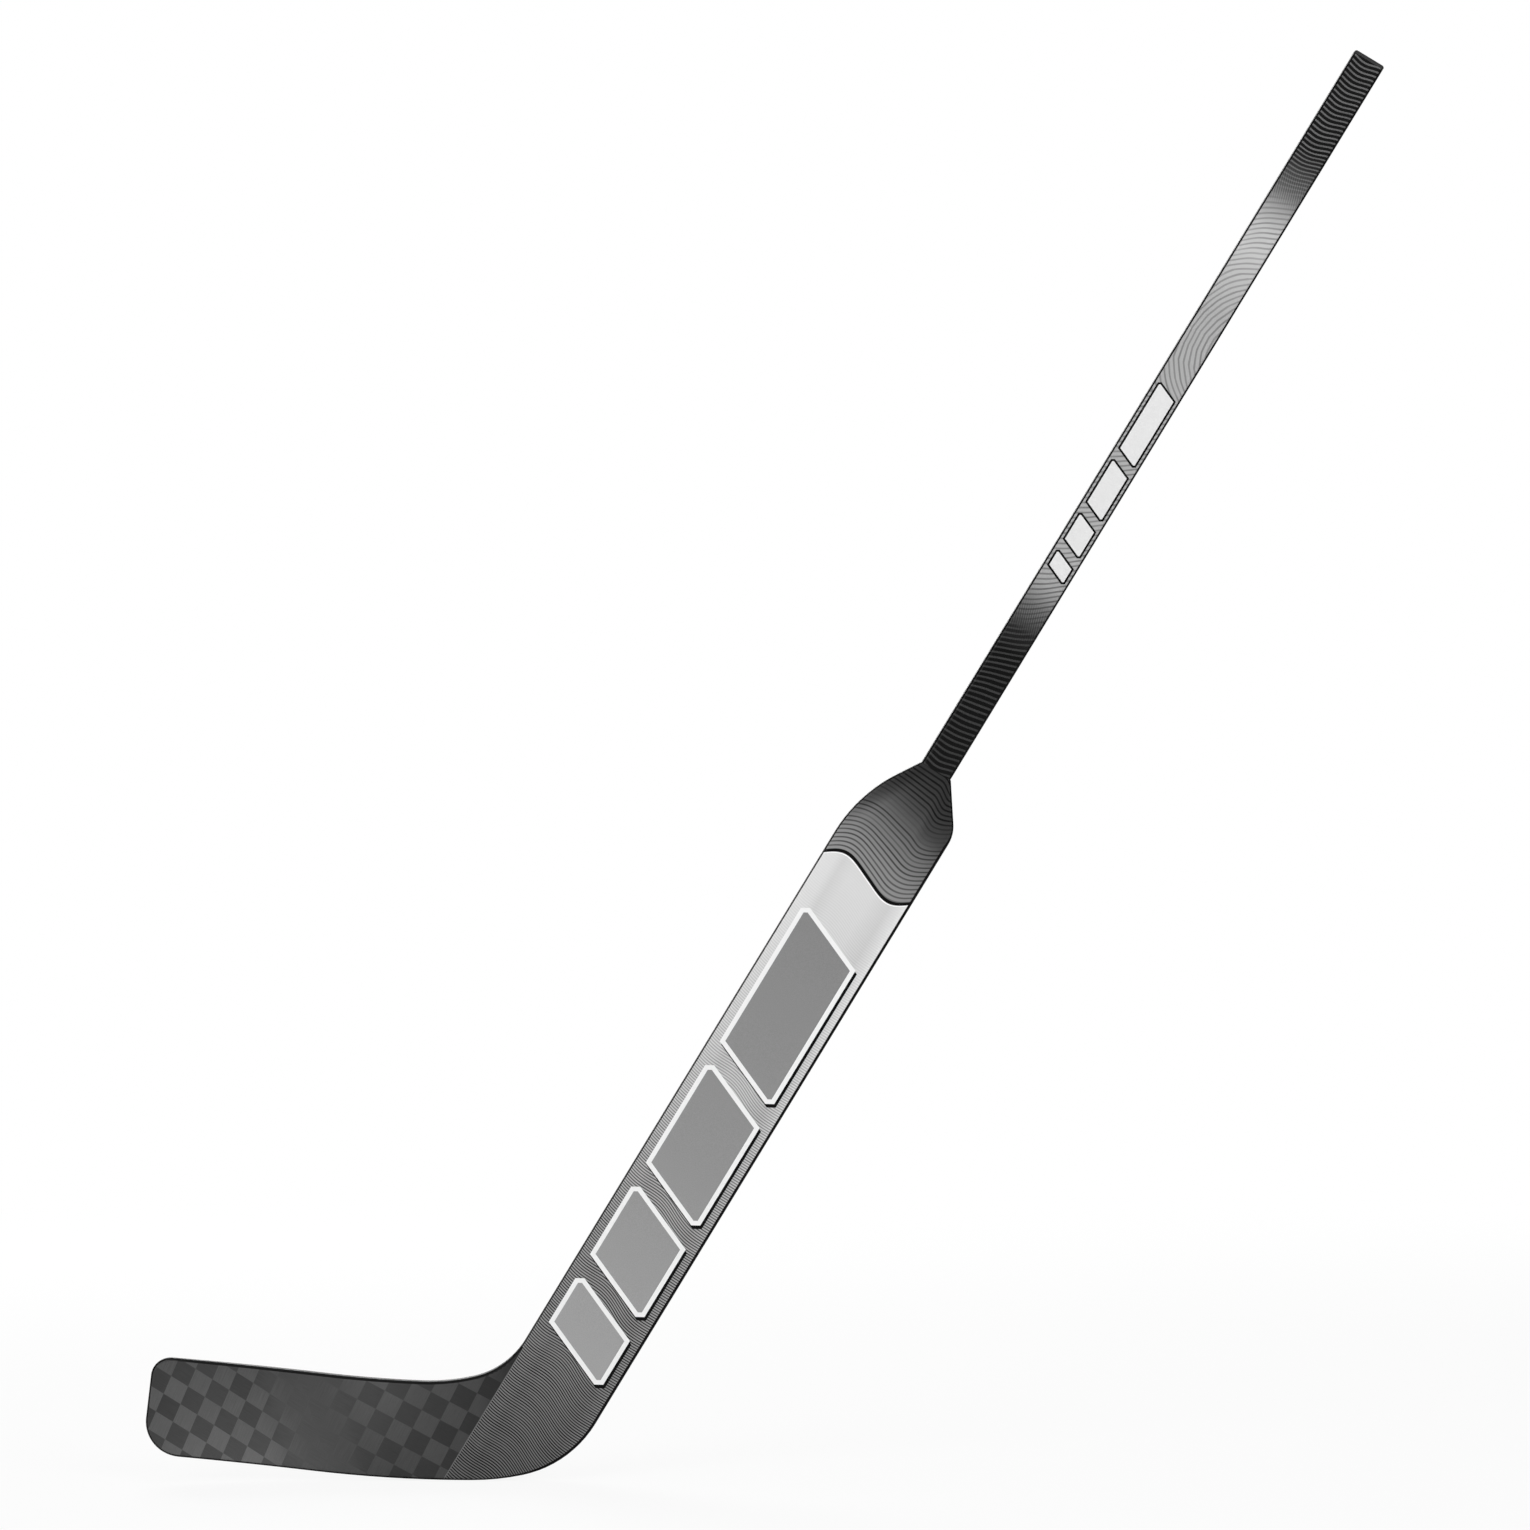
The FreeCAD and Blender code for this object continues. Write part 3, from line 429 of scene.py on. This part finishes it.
def makeShoulderTone(group, across, along, line):  # grey to black up the shoulder, with painted shade darkening both sides
    lean = maths(group, "MULTIPLY", across, paddleLook["shoulderPaintedShadeLean"])
    # painted shade: on the heel side and beside the toe side's slope the tone is taken from further up the
    # shoulder
    high = remap(group, along, *paddleLook["heelPaintedShadeAlong"])
    heelPaintedShade = remap(group, across, *paddleLook["heelPaintedShadeAcross"], 0.0, paddleLook["heelSidePaintedShade"])
    heelPaintedShade = maths(group, "MULTIPLY", heelPaintedShade, high)
    slope, offset = paddleLook["toeSideSlope"]
    slopeEdge = maths(group, "ADD", maths(group, "MULTIPLY", along, slope), offset)
    inward = maths(group, "SUBTRACT", across, slopeEdge)
    toePaintedShade = remap(group, inward, *paddleLook["toePaintedShadeReach"], paddleLook["toeSidePaintedShade"], 0.0)
    # the place up the shoulder, moved further up, to darker grey, by the painted shade
    alongWithPaintedShade = maths(group, "ADD", along, lean, heelPaintedShade, toePaintedShade)
    light = toneRamp(group, alongWithPaintedShade, paddleLook["shoulderTones"])
    dark = toneRamp(group, alongWithPaintedShade, paddleLook["shoulderLineTones"])
    return blendTone(group, line, light, dark)


def makeScreenTone(group, across, along, line):  # the line screen, a painted sheen over it, and the seam at its low end
    light = toneRamp(group, along, paddleLook["screenLightTones"])
    dark = toneRamp(group, along, paddleLook["screenDarkTones"])
    tone = blendTone(group, line, light, dark)
    # painted sheen: the screen made lighter and darker in streaks down the paddle, lighter by the heel
    # side's edge
    paintedSheenStreaks = toneRamp(group, across, paddleLook["paintedSheenTones"])
    paintedSheen = maths(group, "DIVIDE", paintedSheenStreaks, shade(paddleLook["paintedSheenLevel"]))
    tone = maths(group, "MULTIPLY", tone, paintedSheen)
    seam = band(group, across, *paddleLook["seam"], paddleLook["seamSoft"])
    seam = maths(group, "MULTIPLY", seam, remap(group, along, *paddleLook["seamEnd"], 1.0, 0.0))
    return blendTone(group, seam, tone, shade(paddleLook["seamTone"]))


def makePaddlePrintAndPaintedLight():  # dark shoulder, border, then a line screen that darkens to the heel, with painted shade on the shoulder and a painted sheen on the screen
    group, _, end = newGroup("paddlePrintAndPaintedLight", {}, ["Tone", "Line"])
    place = useGroup(group, stickPlace)
    across, along = place["Across"], place["Along"]
    rise = useGroup(group, wave, Across=across, **paddleLook["borderWave"])["Rise"]
    above = maths(group, "SUBTRACT", maths(group, "ADD", along, rise), paddleLook["border"])

    bent = steps(group, along, paddleLook["shoulderBend"], smooth=False)
    heelSide = remap(group, across, *paddleLook["heelSideReach"])
    bent = maths(group, "MULTIPLY", rise, blendTone(group, heelSide, bent, paddleLook["heelSideBend"]))
    shoulderLine = useGroup(
        group, wavyLines, Across=across, Along=along, Rise=bent, **paddleLook["shoulderLines"],
    )["Line"]
    strength = steps(group, maths(group, "ADD", along, bent), paddleLook["shoulderStrength"])
    shoulderLine = maths(group, "MULTIPLY", shoulderLine, strength)
    shoulder = makeShoulderTone(group, across, along, shoulderLine)

    bend = useGroup(group, wave, Across=across, **paddleLook["screenWave"])["Rise"]
    screenLine = useGroup(
        group, wavyLines, Across=across, Along=along, Rise=bend, **paddleLook["screenLines"],
    )["Line"]
    screen = makeScreenTone(group, across, along, screenLine)

    soft = paddleLook["borderSoft"]
    onShoulder = remap(group, above, -soft, soft)
    tone = blendTone(group, onShoulder, screen, shoulder)
    for name in ("whiteLine", "keyline"):
        onLine = band(group, above, *paddleLook[name], soft)
        tone = blendTone(group, onLine, tone, shade(paddleLook[name + "Tone"]))
    feed(group, end["Tone"], tone)
    feed(group, end["Line"], blendTone(group, onShoulder, screenLine, shoulderLine))
    return group


paddlePrintAndPaintedLight = makePaddlePrintAndPaintedLight()

railLook = {
    "thinLimit": 0.82,              # a line about 1.3 mm wide on the rounded edge
    "wideLimit": 0.988,             # about 2.5 mm
    "limitSoft": 0.012,
    "wideTop": (-112.0, -95.0),     # along: the wide line starts below the shoulder
    "wideAcross": (-20.0, 28.0),    # across: it runs round the heel and thins along the sole
    "toeSideTones": [(-780, 52), (-186, 52), (-160, 14), (-60, 8)],
    "heelSideTones": [(-780, 6), (-60, 6)],
}


def makePaddleFilm(name, wideLine, edgeTones):
    material, tree, shader = newSurface(name, satinFilm)
    film = useGroup(tree, paddlePrintAndPaintedLight)
    place = useGroup(tree, stickPlace)
    limit = railLook["thinLimit"]
    if wideLine:
        low = remap(tree, place["Along"], *railLook["wideTop"], 1.0, 0.0)
        heelSide = remap(tree, place["Across"], *railLook["wideAcross"])
        wide = maths(tree, "MULTIPLY", low, heelSide)
        limit = blendTone(tree, wide, railLook["thinLimit"], railLook["wideLimit"])
    edge = useGroup(tree, turnedEdge, Limit=limit, Soft=railLook["limitSoft"])["Edge"]
    tone = blendTone(tree, edge, film["Tone"], toneRamp(tree, place["Along"], edgeTones))
    lacquer(tree, shader, tone, film["Line"], satinFilm)
    return material


bladeLook = {                       # tones are (millimetres along X, grey level)
    "toeTiles": {"turns": (-23.2, -33.4), "sides": (16.62, 16.04), "shift": (0.115, 0.596)},
    "heelTiles": {"turns": (-26.9, -27.9), "sides": (17.9, 17.53), "shift": (0.101, -0.415)},
    "tileCentre": (-561.0, 0.0, -620.0),
    "checkSoft": 0.015,
    "fibreStretch": (0.9, 27.0),    # fibres are long one way, close the other
    "fibre": 0.4,
    "mottle": 0.14,                 # from tile to tile
    "lightTones": [
        (-712, 85), (-660, 94), (-610, 95), (-561, 79), (-500, 76), (-450, 70), (-424, 66), (-400, 46),
    ],
    "darkTones": [(-712, 59), (-660, 68), (-610, 71), (-561, 74), (-500, 59), (-450, 52), (-400, 42)],
    "middleLine": (-622.0, -0.085),     # the blade's middle: height at the tile centre, fall to the heel
    "lowerPaintedLight": [                  # painted light: how much lighter each millimetre down is, at places along X
        (-712, 0.0035), (-600, 0.0055), (-561, 0.0027), (-505, -0.004), (-463, -0.001), (-400, 0.0),
    ],
    "fadeLean": 0.33,               # of the strip between the two checks, where a painted highlight washes the check out
    "paintedGlareReach": (12.0, 40.0),
    "paintedGlareBlotch": 34.0,
    "blotchScale": 42.0,
    "checkInPaintedGlare": 0.14,               # how much of the check still shows under the painted highlight
    "edgeTone": 10,
    "edgeLimit": 0.88,
    "topLine": 0.18,                # how far the surface tips up where the top edge's black line starts
    "topLineSoft": 0.05,
    "topLineEnd": (-705, -665),     # it thins out to the toe
}
wovenFinish = {
    "specular": 0.1,
    "coat": 0.02,
    "coatRoughness": 0.3,
    "gloss": 0.46,
    "spread": 0.14,
    "step": 0.9,
    "bump": 0.3,
    "bumpDepth": 0.08,
}


def makeTowWeaveAndPaintedLight():  # flat carbon tows woven in a check, each with fine fibres along it, with a painted highlight strip and painted light lower down
    group, _, end = newGroup("towWeaveAndPaintedLight", {}, ["Tone", "Fibre"])
    point = objectPoint(group)
    sideways = maths(group, "DIVIDE", axisOf(group, point, "X"), millimetre)
    height = maths(group, "DIVIDE", axisOf(group, point, "Z"), millimetre)
    centre = Vector(bladeLook["tileCentre"])
    middle = tuple(centre * millimetre)
    fromMiddle = addNode(group, "VectorMath", {0: point, 1: middle}, operation="SUBTRACT").outputs[0]
    fromCentre = maths(group, "ADD", sideways, -centre.x)

    def tiles(look):  # place along and over the check, counted in tiles
        warp, weft = (math.radians(turn) for turn in look["turns"])
        ways = (math.cos(warp), 0, math.sin(warp)), (-math.sin(weft), 0, math.cos(weft))
        found = []
        for way, side, shift in zip(ways, look["sides"], look["shift"]):
            count = dot(group, fromMiddle, Vector(way) / (side * millimetre))
            found.append(maths(group, "ADD", count, shift))
        return found

    leaning = maths(group, "MULTIPLY", maths(group, "ADD", height, -centre.z), bladeLook["fadeLean"])
    fade = maths(group, "ADD", fromCentre, leaning)
    heelPart = maths(group, "GREATER_THAN", fade, 0.0)
    along, over = (
        blendTone(group, heelPart, toe, heel)
        for toe, heel in zip(tiles(bladeLook["toeTiles"]), tiles(bladeLook["heelTiles"]))
    )
    first = maths(group, "SINE", maths(group, "MULTIPLY", along, math.pi))
    second = maths(group, "SINE", maths(group, "MULTIPLY", over, math.pi))
    soft = bladeLook["checkSoft"]
    check = remap(group, maths(group, "MULTIPLY", first, second), -soft, soft)

    def fibres(stretchAlong, stretchOver):
        stretched = pointAt(
            group,
            maths(group, "MULTIPLY", along, stretchAlong),
            maths(group, "MULTIPLY", over, stretchOver),
        )
        return noise(group, stretched, 1.0, 3.0)

    far, close = bladeLook["fibreStretch"]
    fibre = blendTone(group, check, fibres(far, close), fibres(close, far))
    cell = pointAt(group, maths(group, "FLOOR", along), maths(group, "FLOOR", over))
    lot = addNode(group, "TexWhiteNoise", {"Vector": cell}, noise_dimensions="3D").outputs["Value"]

    # painted highlight: a blotchy strip across the blade where the check fades to its middle tone
    blotch = swing(group, noise(group, point, bladeLook["blotchScale"]), bladeLook["paintedGlareBlotch"])
    fade = maths(group, "ADD", maths(group, "ABSOLUTE", fade), blotch)
    clear = remap(group, fade, *bladeLook["paintedGlareReach"], bladeLook["checkInPaintedGlare"], 1.0)

    light = toneRamp(group, sideways, bladeLook["lightTones"])
    dark = toneRamp(group, sideways, bladeLook["darkTones"])
    paintedGlareTone = blendTone(group, 0.5, light, dark)
    tone = blendTone(group, clear, paintedGlareTone, blendTone(group, check, dark, light))
    streak = swing(group, fibre, bladeLook["fibre"])
    mottle = maths(group, "MULTIPLY", swing(group, lot, bladeLook["mottle"]), clear)
    # painted light: the blade made lighter below its middle line towards the toe, a little darker around
    # -505
    level, fall = bladeLook["middleLine"]
    middleHeight = maths(group, "ADD", maths(group, "MULTIPLY", fromCentre, fall), level)
    below = maths(group, "SUBTRACT", middleHeight, height)
    slope = maths(group, "MULTIPLY", below, steps(group, sideways, bladeLook["lowerPaintedLight"]))
    # fibre streaks and tile mottle of the weave, with the painted light below the middle
    lift = maths(group, "ADD", streak, mottle, slope, 1.0)
    feed(group, end["Tone"], maths(group, "MULTIPLY", tone, lift))
    feed(group, end["Fibre"], fibre)
    return group


towWeaveAndPaintedLight = makeTowWeaveAndPaintedLight()


def makeBladeWeave():
    material, tree, shader = newSurface("bladeWeave", wovenFinish)
    # the weave's tone, with its painted highlight strip and painted light
    tow = useGroup(tree, towWeaveAndPaintedLight)
    edge = useGroup(tree, turnedEdge, Limit=bladeLook["edgeLimit"])["Edge"]
    upward = axisOf(tree, addNode(tree, "NewGeometry").outputs["Normal"], "Z")
    tip, soft = bladeLook["topLine"], bladeLook["topLineSoft"]
    top = remap(tree, upward, tip - soft, tip + soft)
    sideways = maths(tree, "DIVIDE", axisOf(tree, objectPoint(tree), "X"), millimetre)
    top = maths(tree, "MULTIPLY", top, remap(tree, sideways, *bladeLook["topLineEnd"]))
    edge = maths(tree, "MAXIMUM", edge, top)
    tone = blendTone(tree, edge, tow["Tone"], shade(bladeLook["edgeTone"]))
    lacquer(tree, shader, tone, tow["Fibre"], wovenFinish)
    return material


capLook = {
    "tone": 40,
    "grain": 900.0,
    "toneRange": (0.3, 0.7),        # of the grain, and the tone's share there
    "toneShare": (0.8, 1.2),
    "roughRange": (0.2, 0.8),
    "rough": (0.55, 0.75),
    "bump": 0.4,
    "bumpDepth": 0.1,
    "finish": {"specular": 0.3, "coat": 0.0, "coatRoughness": 0.3},
}


def makeCapRubber():
    material, tree, shader = newSurface("capRubber", capLook["finish"])
    grain = noise(tree, objectPoint(tree), capLook["grain"], 3.0)
    share = remap(tree, grain, *capLook["toneRange"], *capLook["toneShare"])
    tone = maths(tree, "MULTIPLY", share, shade(capLook["tone"]))
    roughness = remap(tree, grain, *capLook["roughRange"], *capLook["rough"])
    dress(tree, shader, tone, roughness, grain, capLook)
    return material


coreLook = {                        # pieces that only show when the stick is taken apart
    "foam": {"tones": (196, 226), "cells": 700.0, "rough": (0.8, 0.95)},
    "web": {"tones": (26, 44), "cells": 240.0, "rough": (0.5, 0.65)},
    "cellRange": (0.0, 0.8),
    "bump": 0.5,
    "bumpDepth": 0.3,
    "finish": {"specular": 0.2, "coat": 0.0, "coatRoughness": 0.3},
}


def makeInsideMaterial(name, look):
    material, tree, shader = newSurface(name, coreLook["finish"])
    inputs = {"Vector": objectPoint(tree), "Scale": look["cells"]}
    cells = addNode(tree, "TexVoronoi", inputs).outputs["Distance"]
    tone = remap(tree, cells, *coreLook["cellRange"], *(shade(level) for level in look["tones"]))
    roughness = remap(tree, cells, *coreLook["cellRange"], *look["rough"])
    dress(tree, shader, tone, roughness, cells, coreLook)
    return material


handleFilm = makeHandleFilm()
paddleFilm = makePaddleFilm("paddleFilm", False, railLook["toeSideTones"])
heelRailFilm = makePaddleFilm("heelRailFilm", True, railLook["heelSideTones"])
bladeWeave = makeBladeWeave()
capRubber = makeCapRubber()
coreFoam = makeInsideMaterial("coreFoam", coreLook["foam"])
webLaminate = makeInsideMaterial("webLaminate", coreLook["web"])

surfaces = {
    "butt_cap": capRubber,
    "handle_tube": handleFilm,
    "paddle_front_skin": paddleFilm,
    "paddle_back_skin": paddleFilm,
    "toe_side_rail": paddleFilm,
    "heel_side_rail": heelRailFilm,
    "blade_front_skin": bladeWeave,
    "blade_back_skin": bladeWeave,
    "blade_edge_band": bladeWeave,
}
for name, piece in cad.items():
    inside = webLaminate if "web" in name or "tenon" in name else coreFoam
    piece.data.materials.clear()
    piece.data.materials.append(surfaces.get(name, inside))
print("surfaces on", len(cad), "nodes")


# printed bars


inkLook = {                         # tones are (millimetres along, grey level)
    "black": {"tones": [(-650, 5), (360, 6)], "speckle": 0.1},
    "white": {"tones": [(-650, 236), (-60, 236), (60, 219), (360, 221)], "speckle": 0.01},
    "grey": {"tones": [(-650, 158), (-450, 142), (-230, 131)], "speckle": 0.07},
    "speckleScale": 1500.0,
    "speckleRange": (0.25, 0.75),
    "cloudScale": 30.0,
    "cloudRange": (0.2, 0.8),
    "rough": (0.34, 0.46),
    "finish": {"specular": 0.08, "coat": 0.02, "coatRoughness": 0.25},
}


def makeInk(name, look):
    material, tree, shader = newSurface(name, inkLook["finish"])
    level = toneRamp(tree, useGroup(tree, stickPlace)["Along"], look["tones"])
    point = objectPoint(tree)
    fine = noise(tree, point, inkLook["speckleScale"])
    cloud = noise(tree, point, inkLook["cloudScale"])
    speckle = remap(tree, fine, *inkLook["speckleRange"], 1 - look["speckle"], 1 + look["speckle"])
    feed(tree, shader.inputs["Base Color"], maths(tree, "MULTIPLY", speckle, level))
    roughness = remap(tree, cloud, *inkLook["cloudRange"], *inkLook["rough"])
    feed(tree, shader.inputs["Roughness"], roughness)
    return material


def slantBar(top, bottom, left, right, slant, nip):  # corners of a slanted bar, clockwise, two nipped off
    rise = slant * (right - left) / 2
    return [
        (left, top + rise - nip),
        (left + nip, top + rise - slant * nip),
        (right, top - rise),
        (right, bottom - rise + nip),
        (right - nip, bottom - rise + slant * nip),
        (left, bottom + rise),
    ]


def grown(corners, reach):  # the same clockwise outline, moved outwards all round
    found = []
    for i, corner in enumerate(corners):
        before, here = Vector(corners[i - 1]), Vector(corner)
        after = Vector(corners[(i + 1) % len(corners)])
        inWay = (here - before).normalized()
        outWay = (after - here).normalized()
        inNormal = Vector((-inWay.y, inWay.x))
        outNormal = Vector((-outWay.y, outWay.x))
        mitre = (inNormal + outNormal).normalized()
        found.append(here + mitre * (reach / mitre.dot(outNormal)))
    return found


def halfDepth(face, along):
    (low, thin), (high, thick) = face
    part = min(max((along - low) / (high - low), 0.0), 1.0)
    return thin + (thick - thin) * part


barFoot = 0.05                      # millimetres that the printed bars reach into the surface


def makePrint(name, bars, layers, inks, face, side):
    mesh = bmesh.new()
    for bar in bars:
        for ink, (reach, shift, rise) in enumerate(layers):
            corners = [point + Vector(shift) for point in grown(slantBar(*bar), reach)]
            rings = []
            for lift in (-barFoot, rise):
                ring = []
                for across, along in corners:
                    spot = acrossWay * across + alongWay * along
                    spot.y = side * (halfDepth(face, along) + lift)
                    ring.append(mesh.verts.new(spot * millimetre))
                rings.append(ring)
            base, top = rings
            count = len(top)
            walls = [
                (base[i], base[(i + 1) % count], top[(i + 1) % count], top[i])
                for i in range(count)
            ]
            for outline in [top, *walls]:
                mesh.faces.new(outline).material_index = ink
    bmesh.ops.recalc_face_normals(mesh, faces=mesh.faces)
    data = bpy.data.meshes.new(name)
    mesh.to_mesh(data)
    mesh.free()
    for ink in inks:
        data.materials.append(ink)
    piece = bpy.data.objects.new(name, data)
    bpy.context.scene.collection.objects.link(piece)
    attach(piece, "root")


paddleBars = {
    "start": -232.0,
    "lengths": [132.0, 96.0, 66.0, 42.0],
    "gap": 26.0,
    "edges": (-34.0, 26.0),         # across
    "slant": 0.42,
    "nip": 3.0,
    "layers": [                     # reach past the bar, shift across and along, height over the face
        (4.0, (2.6, -2.0), 0.10),
        (4.0, (0.0, 0.0), 0.18),
        (0.0, (0.0, 0.0), 0.26),
    ],
}
handleBars = {
    "start": 320.0,
    "lengths": [65.0, 42.0, 25.0, 14.0],
    "gap": 12.0,
    "edges": (-9.2, 9.2),
    "slant": 0.42,
    "nip": 1.2,
    "layers": [
        (1.8, (0.0, 0.0), 0.10),
        (0.0, (0.0, 0.0), 0.18),
    ],
}


def rowOfBars(look):
    bars = []
    top = look["start"]
    for length in look["lengths"]:
        bars.append((top, top - length, *look["edges"], look["slant"], look["nip"]))
        top -= length + look["gap"]
    return bars


blackInk = makeInk("blackInk", inkLook["black"])
whiteInk = makeInk("whiteInk", inkLook["white"])
greyInk = makeInk("greyInk", inkLook["grey"])
for side, label in ((-1, "front"), (1, "back")):
    makePrint(
        f"paddle_print_{label}", rowOfBars(paddleBars), paddleBars["layers"],
        [blackInk, whiteInk, greyInk], stick["paddleFace"], side,
    )
    makePrint(
        f"handle_print_{label}", rowOfBars(handleBars), handleBars["layers"],
        [blackInk, whiteInk], stick["handleFace"], side,
    )
print("printed bars made")


# floor, lights and camera


studio = {                          # lengths in metres
    "floorHalf": 30.0,
    "floorLevel": 236,
    "fadeFrom": 1.2,                # from the origin, where the floor starts to go white
    "fadeTo": 3.2,
    "skyFill": 0.08,
    "floorGlow": 0.88,              # lifts the floor towards white near the stick
    "softboxes": [                  # place, size, watts
        ((-2.6, -3.9, 1.5), 2.6, 106.0),
        ((2.4, -4.1, 1.7), 2.6, 106.0),
        ((0.0, -0.8, 3.7), 3.0, 50.0),
        ((-1.5, 3.6, 1.8), 2.6, 130.0),
    ],
    "aim": (-0.18, 0.0, -0.05),
}


def makeFloor():
    mesh = bmesh.new()
    half = studio["floorHalf"]
    level = cadBox[0].z
    corners = ((-half, -half), (half, -half), (half, half), (-half, half))
    mesh.faces.new([mesh.verts.new((x, y, level)) for x, y in corners])
    data = bpy.data.meshes.new("floor")
    mesh.to_mesh(data)
    mesh.free()
    material = bpy.data.materials.new("paleFloor")
    material.use_nodes = True
    tree = material.node_tree
    tree.nodes.clear()
    inputs = {0: objectPoint(tree), 1: (1.0, 1.0, 0.0)}
    flat = addNode(tree, "VectorMath", inputs, operation="MULTIPLY").outputs[0]
    away = addNode(tree, "VectorMath", {0: flat}, operation="LENGTH").outputs["Value"]
    paint = addNode(tree, "BsdfDiffuse", {"Color": grey(studio["floorLevel"])})
    glow = addNode(tree, "Emission", {"Color": grey(255), "Strength": 1.0})
    seen = addNode(tree, "LightPath").outputs["Is Camera Ray"]
    whiter = remap(tree, away, studio["fadeFrom"], studio["fadeTo"], studio["floorGlow"], 1.0)
    mix = addNode(tree, "MixShader", {
        0: maths(tree, "MULTIPLY", whiter, seen),
        1: paint.outputs[0],
        2: glow.outputs[0],
    })
    addNode(tree, "OutputMaterial", {"Surface": mix.outputs[0]})
    data.materials.append(material)
    floor = bpy.data.objects.new("floor", data)
    bpy.context.scene.collection.objects.link(floor)


def makeSky():
    world = bpy.data.worlds.new("studioSky")
    bpy.context.scene.world = world
    world.use_nodes = True
    tree = world.node_tree
    tree.nodes.clear()
    seen = addNode(tree, "LightPath").outputs["Is Camera Ray"]
    strength = blendTone(tree, seen, studio["skyFill"], 1.0)
    sky = addNode(tree, "Background", {"Color": grey(255), "Strength": strength})
    addNode(tree, "OutputWorld", {"Surface": sky.outputs[0]})


def makeSoftboxes():
    for number, (place, size, watts) in enumerate(studio["softboxes"]):
        light = bpy.data.lights.new(f"softbox{number}", "AREA")
        light.shape = "SQUARE"
        light.size = size
        light.energy = watts
        lamp = bpy.data.objects.new(light.name, light)
        lamp.location = place
        aim = Vector(studio["aim"]) - Vector(place)
        lamp.rotation_euler = aim.to_track_quat("-Z", "Y").to_euler()
        bpy.context.scene.collection.objects.link(lamp)


view = {
    "centre": (-0.1778, 0.0, -0.0459),
    "width": 1.3143,                # metres across the picture, at the stick
    "lens": 135.0,
    "sensor": 36.0,
}


def makeCamera():
    data = bpy.data.cameras.new("camera")
    data.lens = view["lens"]
    data.sensor_width = view["sensor"]
    camera = bpy.data.objects.new("camera", data)
    away = view["width"] * view["lens"] / view["sensor"]
    camera.location = Vector(view["centre"]) - Vector((0, away, 0))
    camera.rotation_euler = (math.radians(90), 0, 0)
    bpy.context.scene.collection.objects.link(camera)
    bpy.context.scene.camera = camera


makeFloor()
makeSky()
makeSoftboxes()
makeCamera()
bpy.context.scene.view_settings.view_transform = "Standard"
bpy.context.scene.view_settings.look = "None"
print("studio ready")
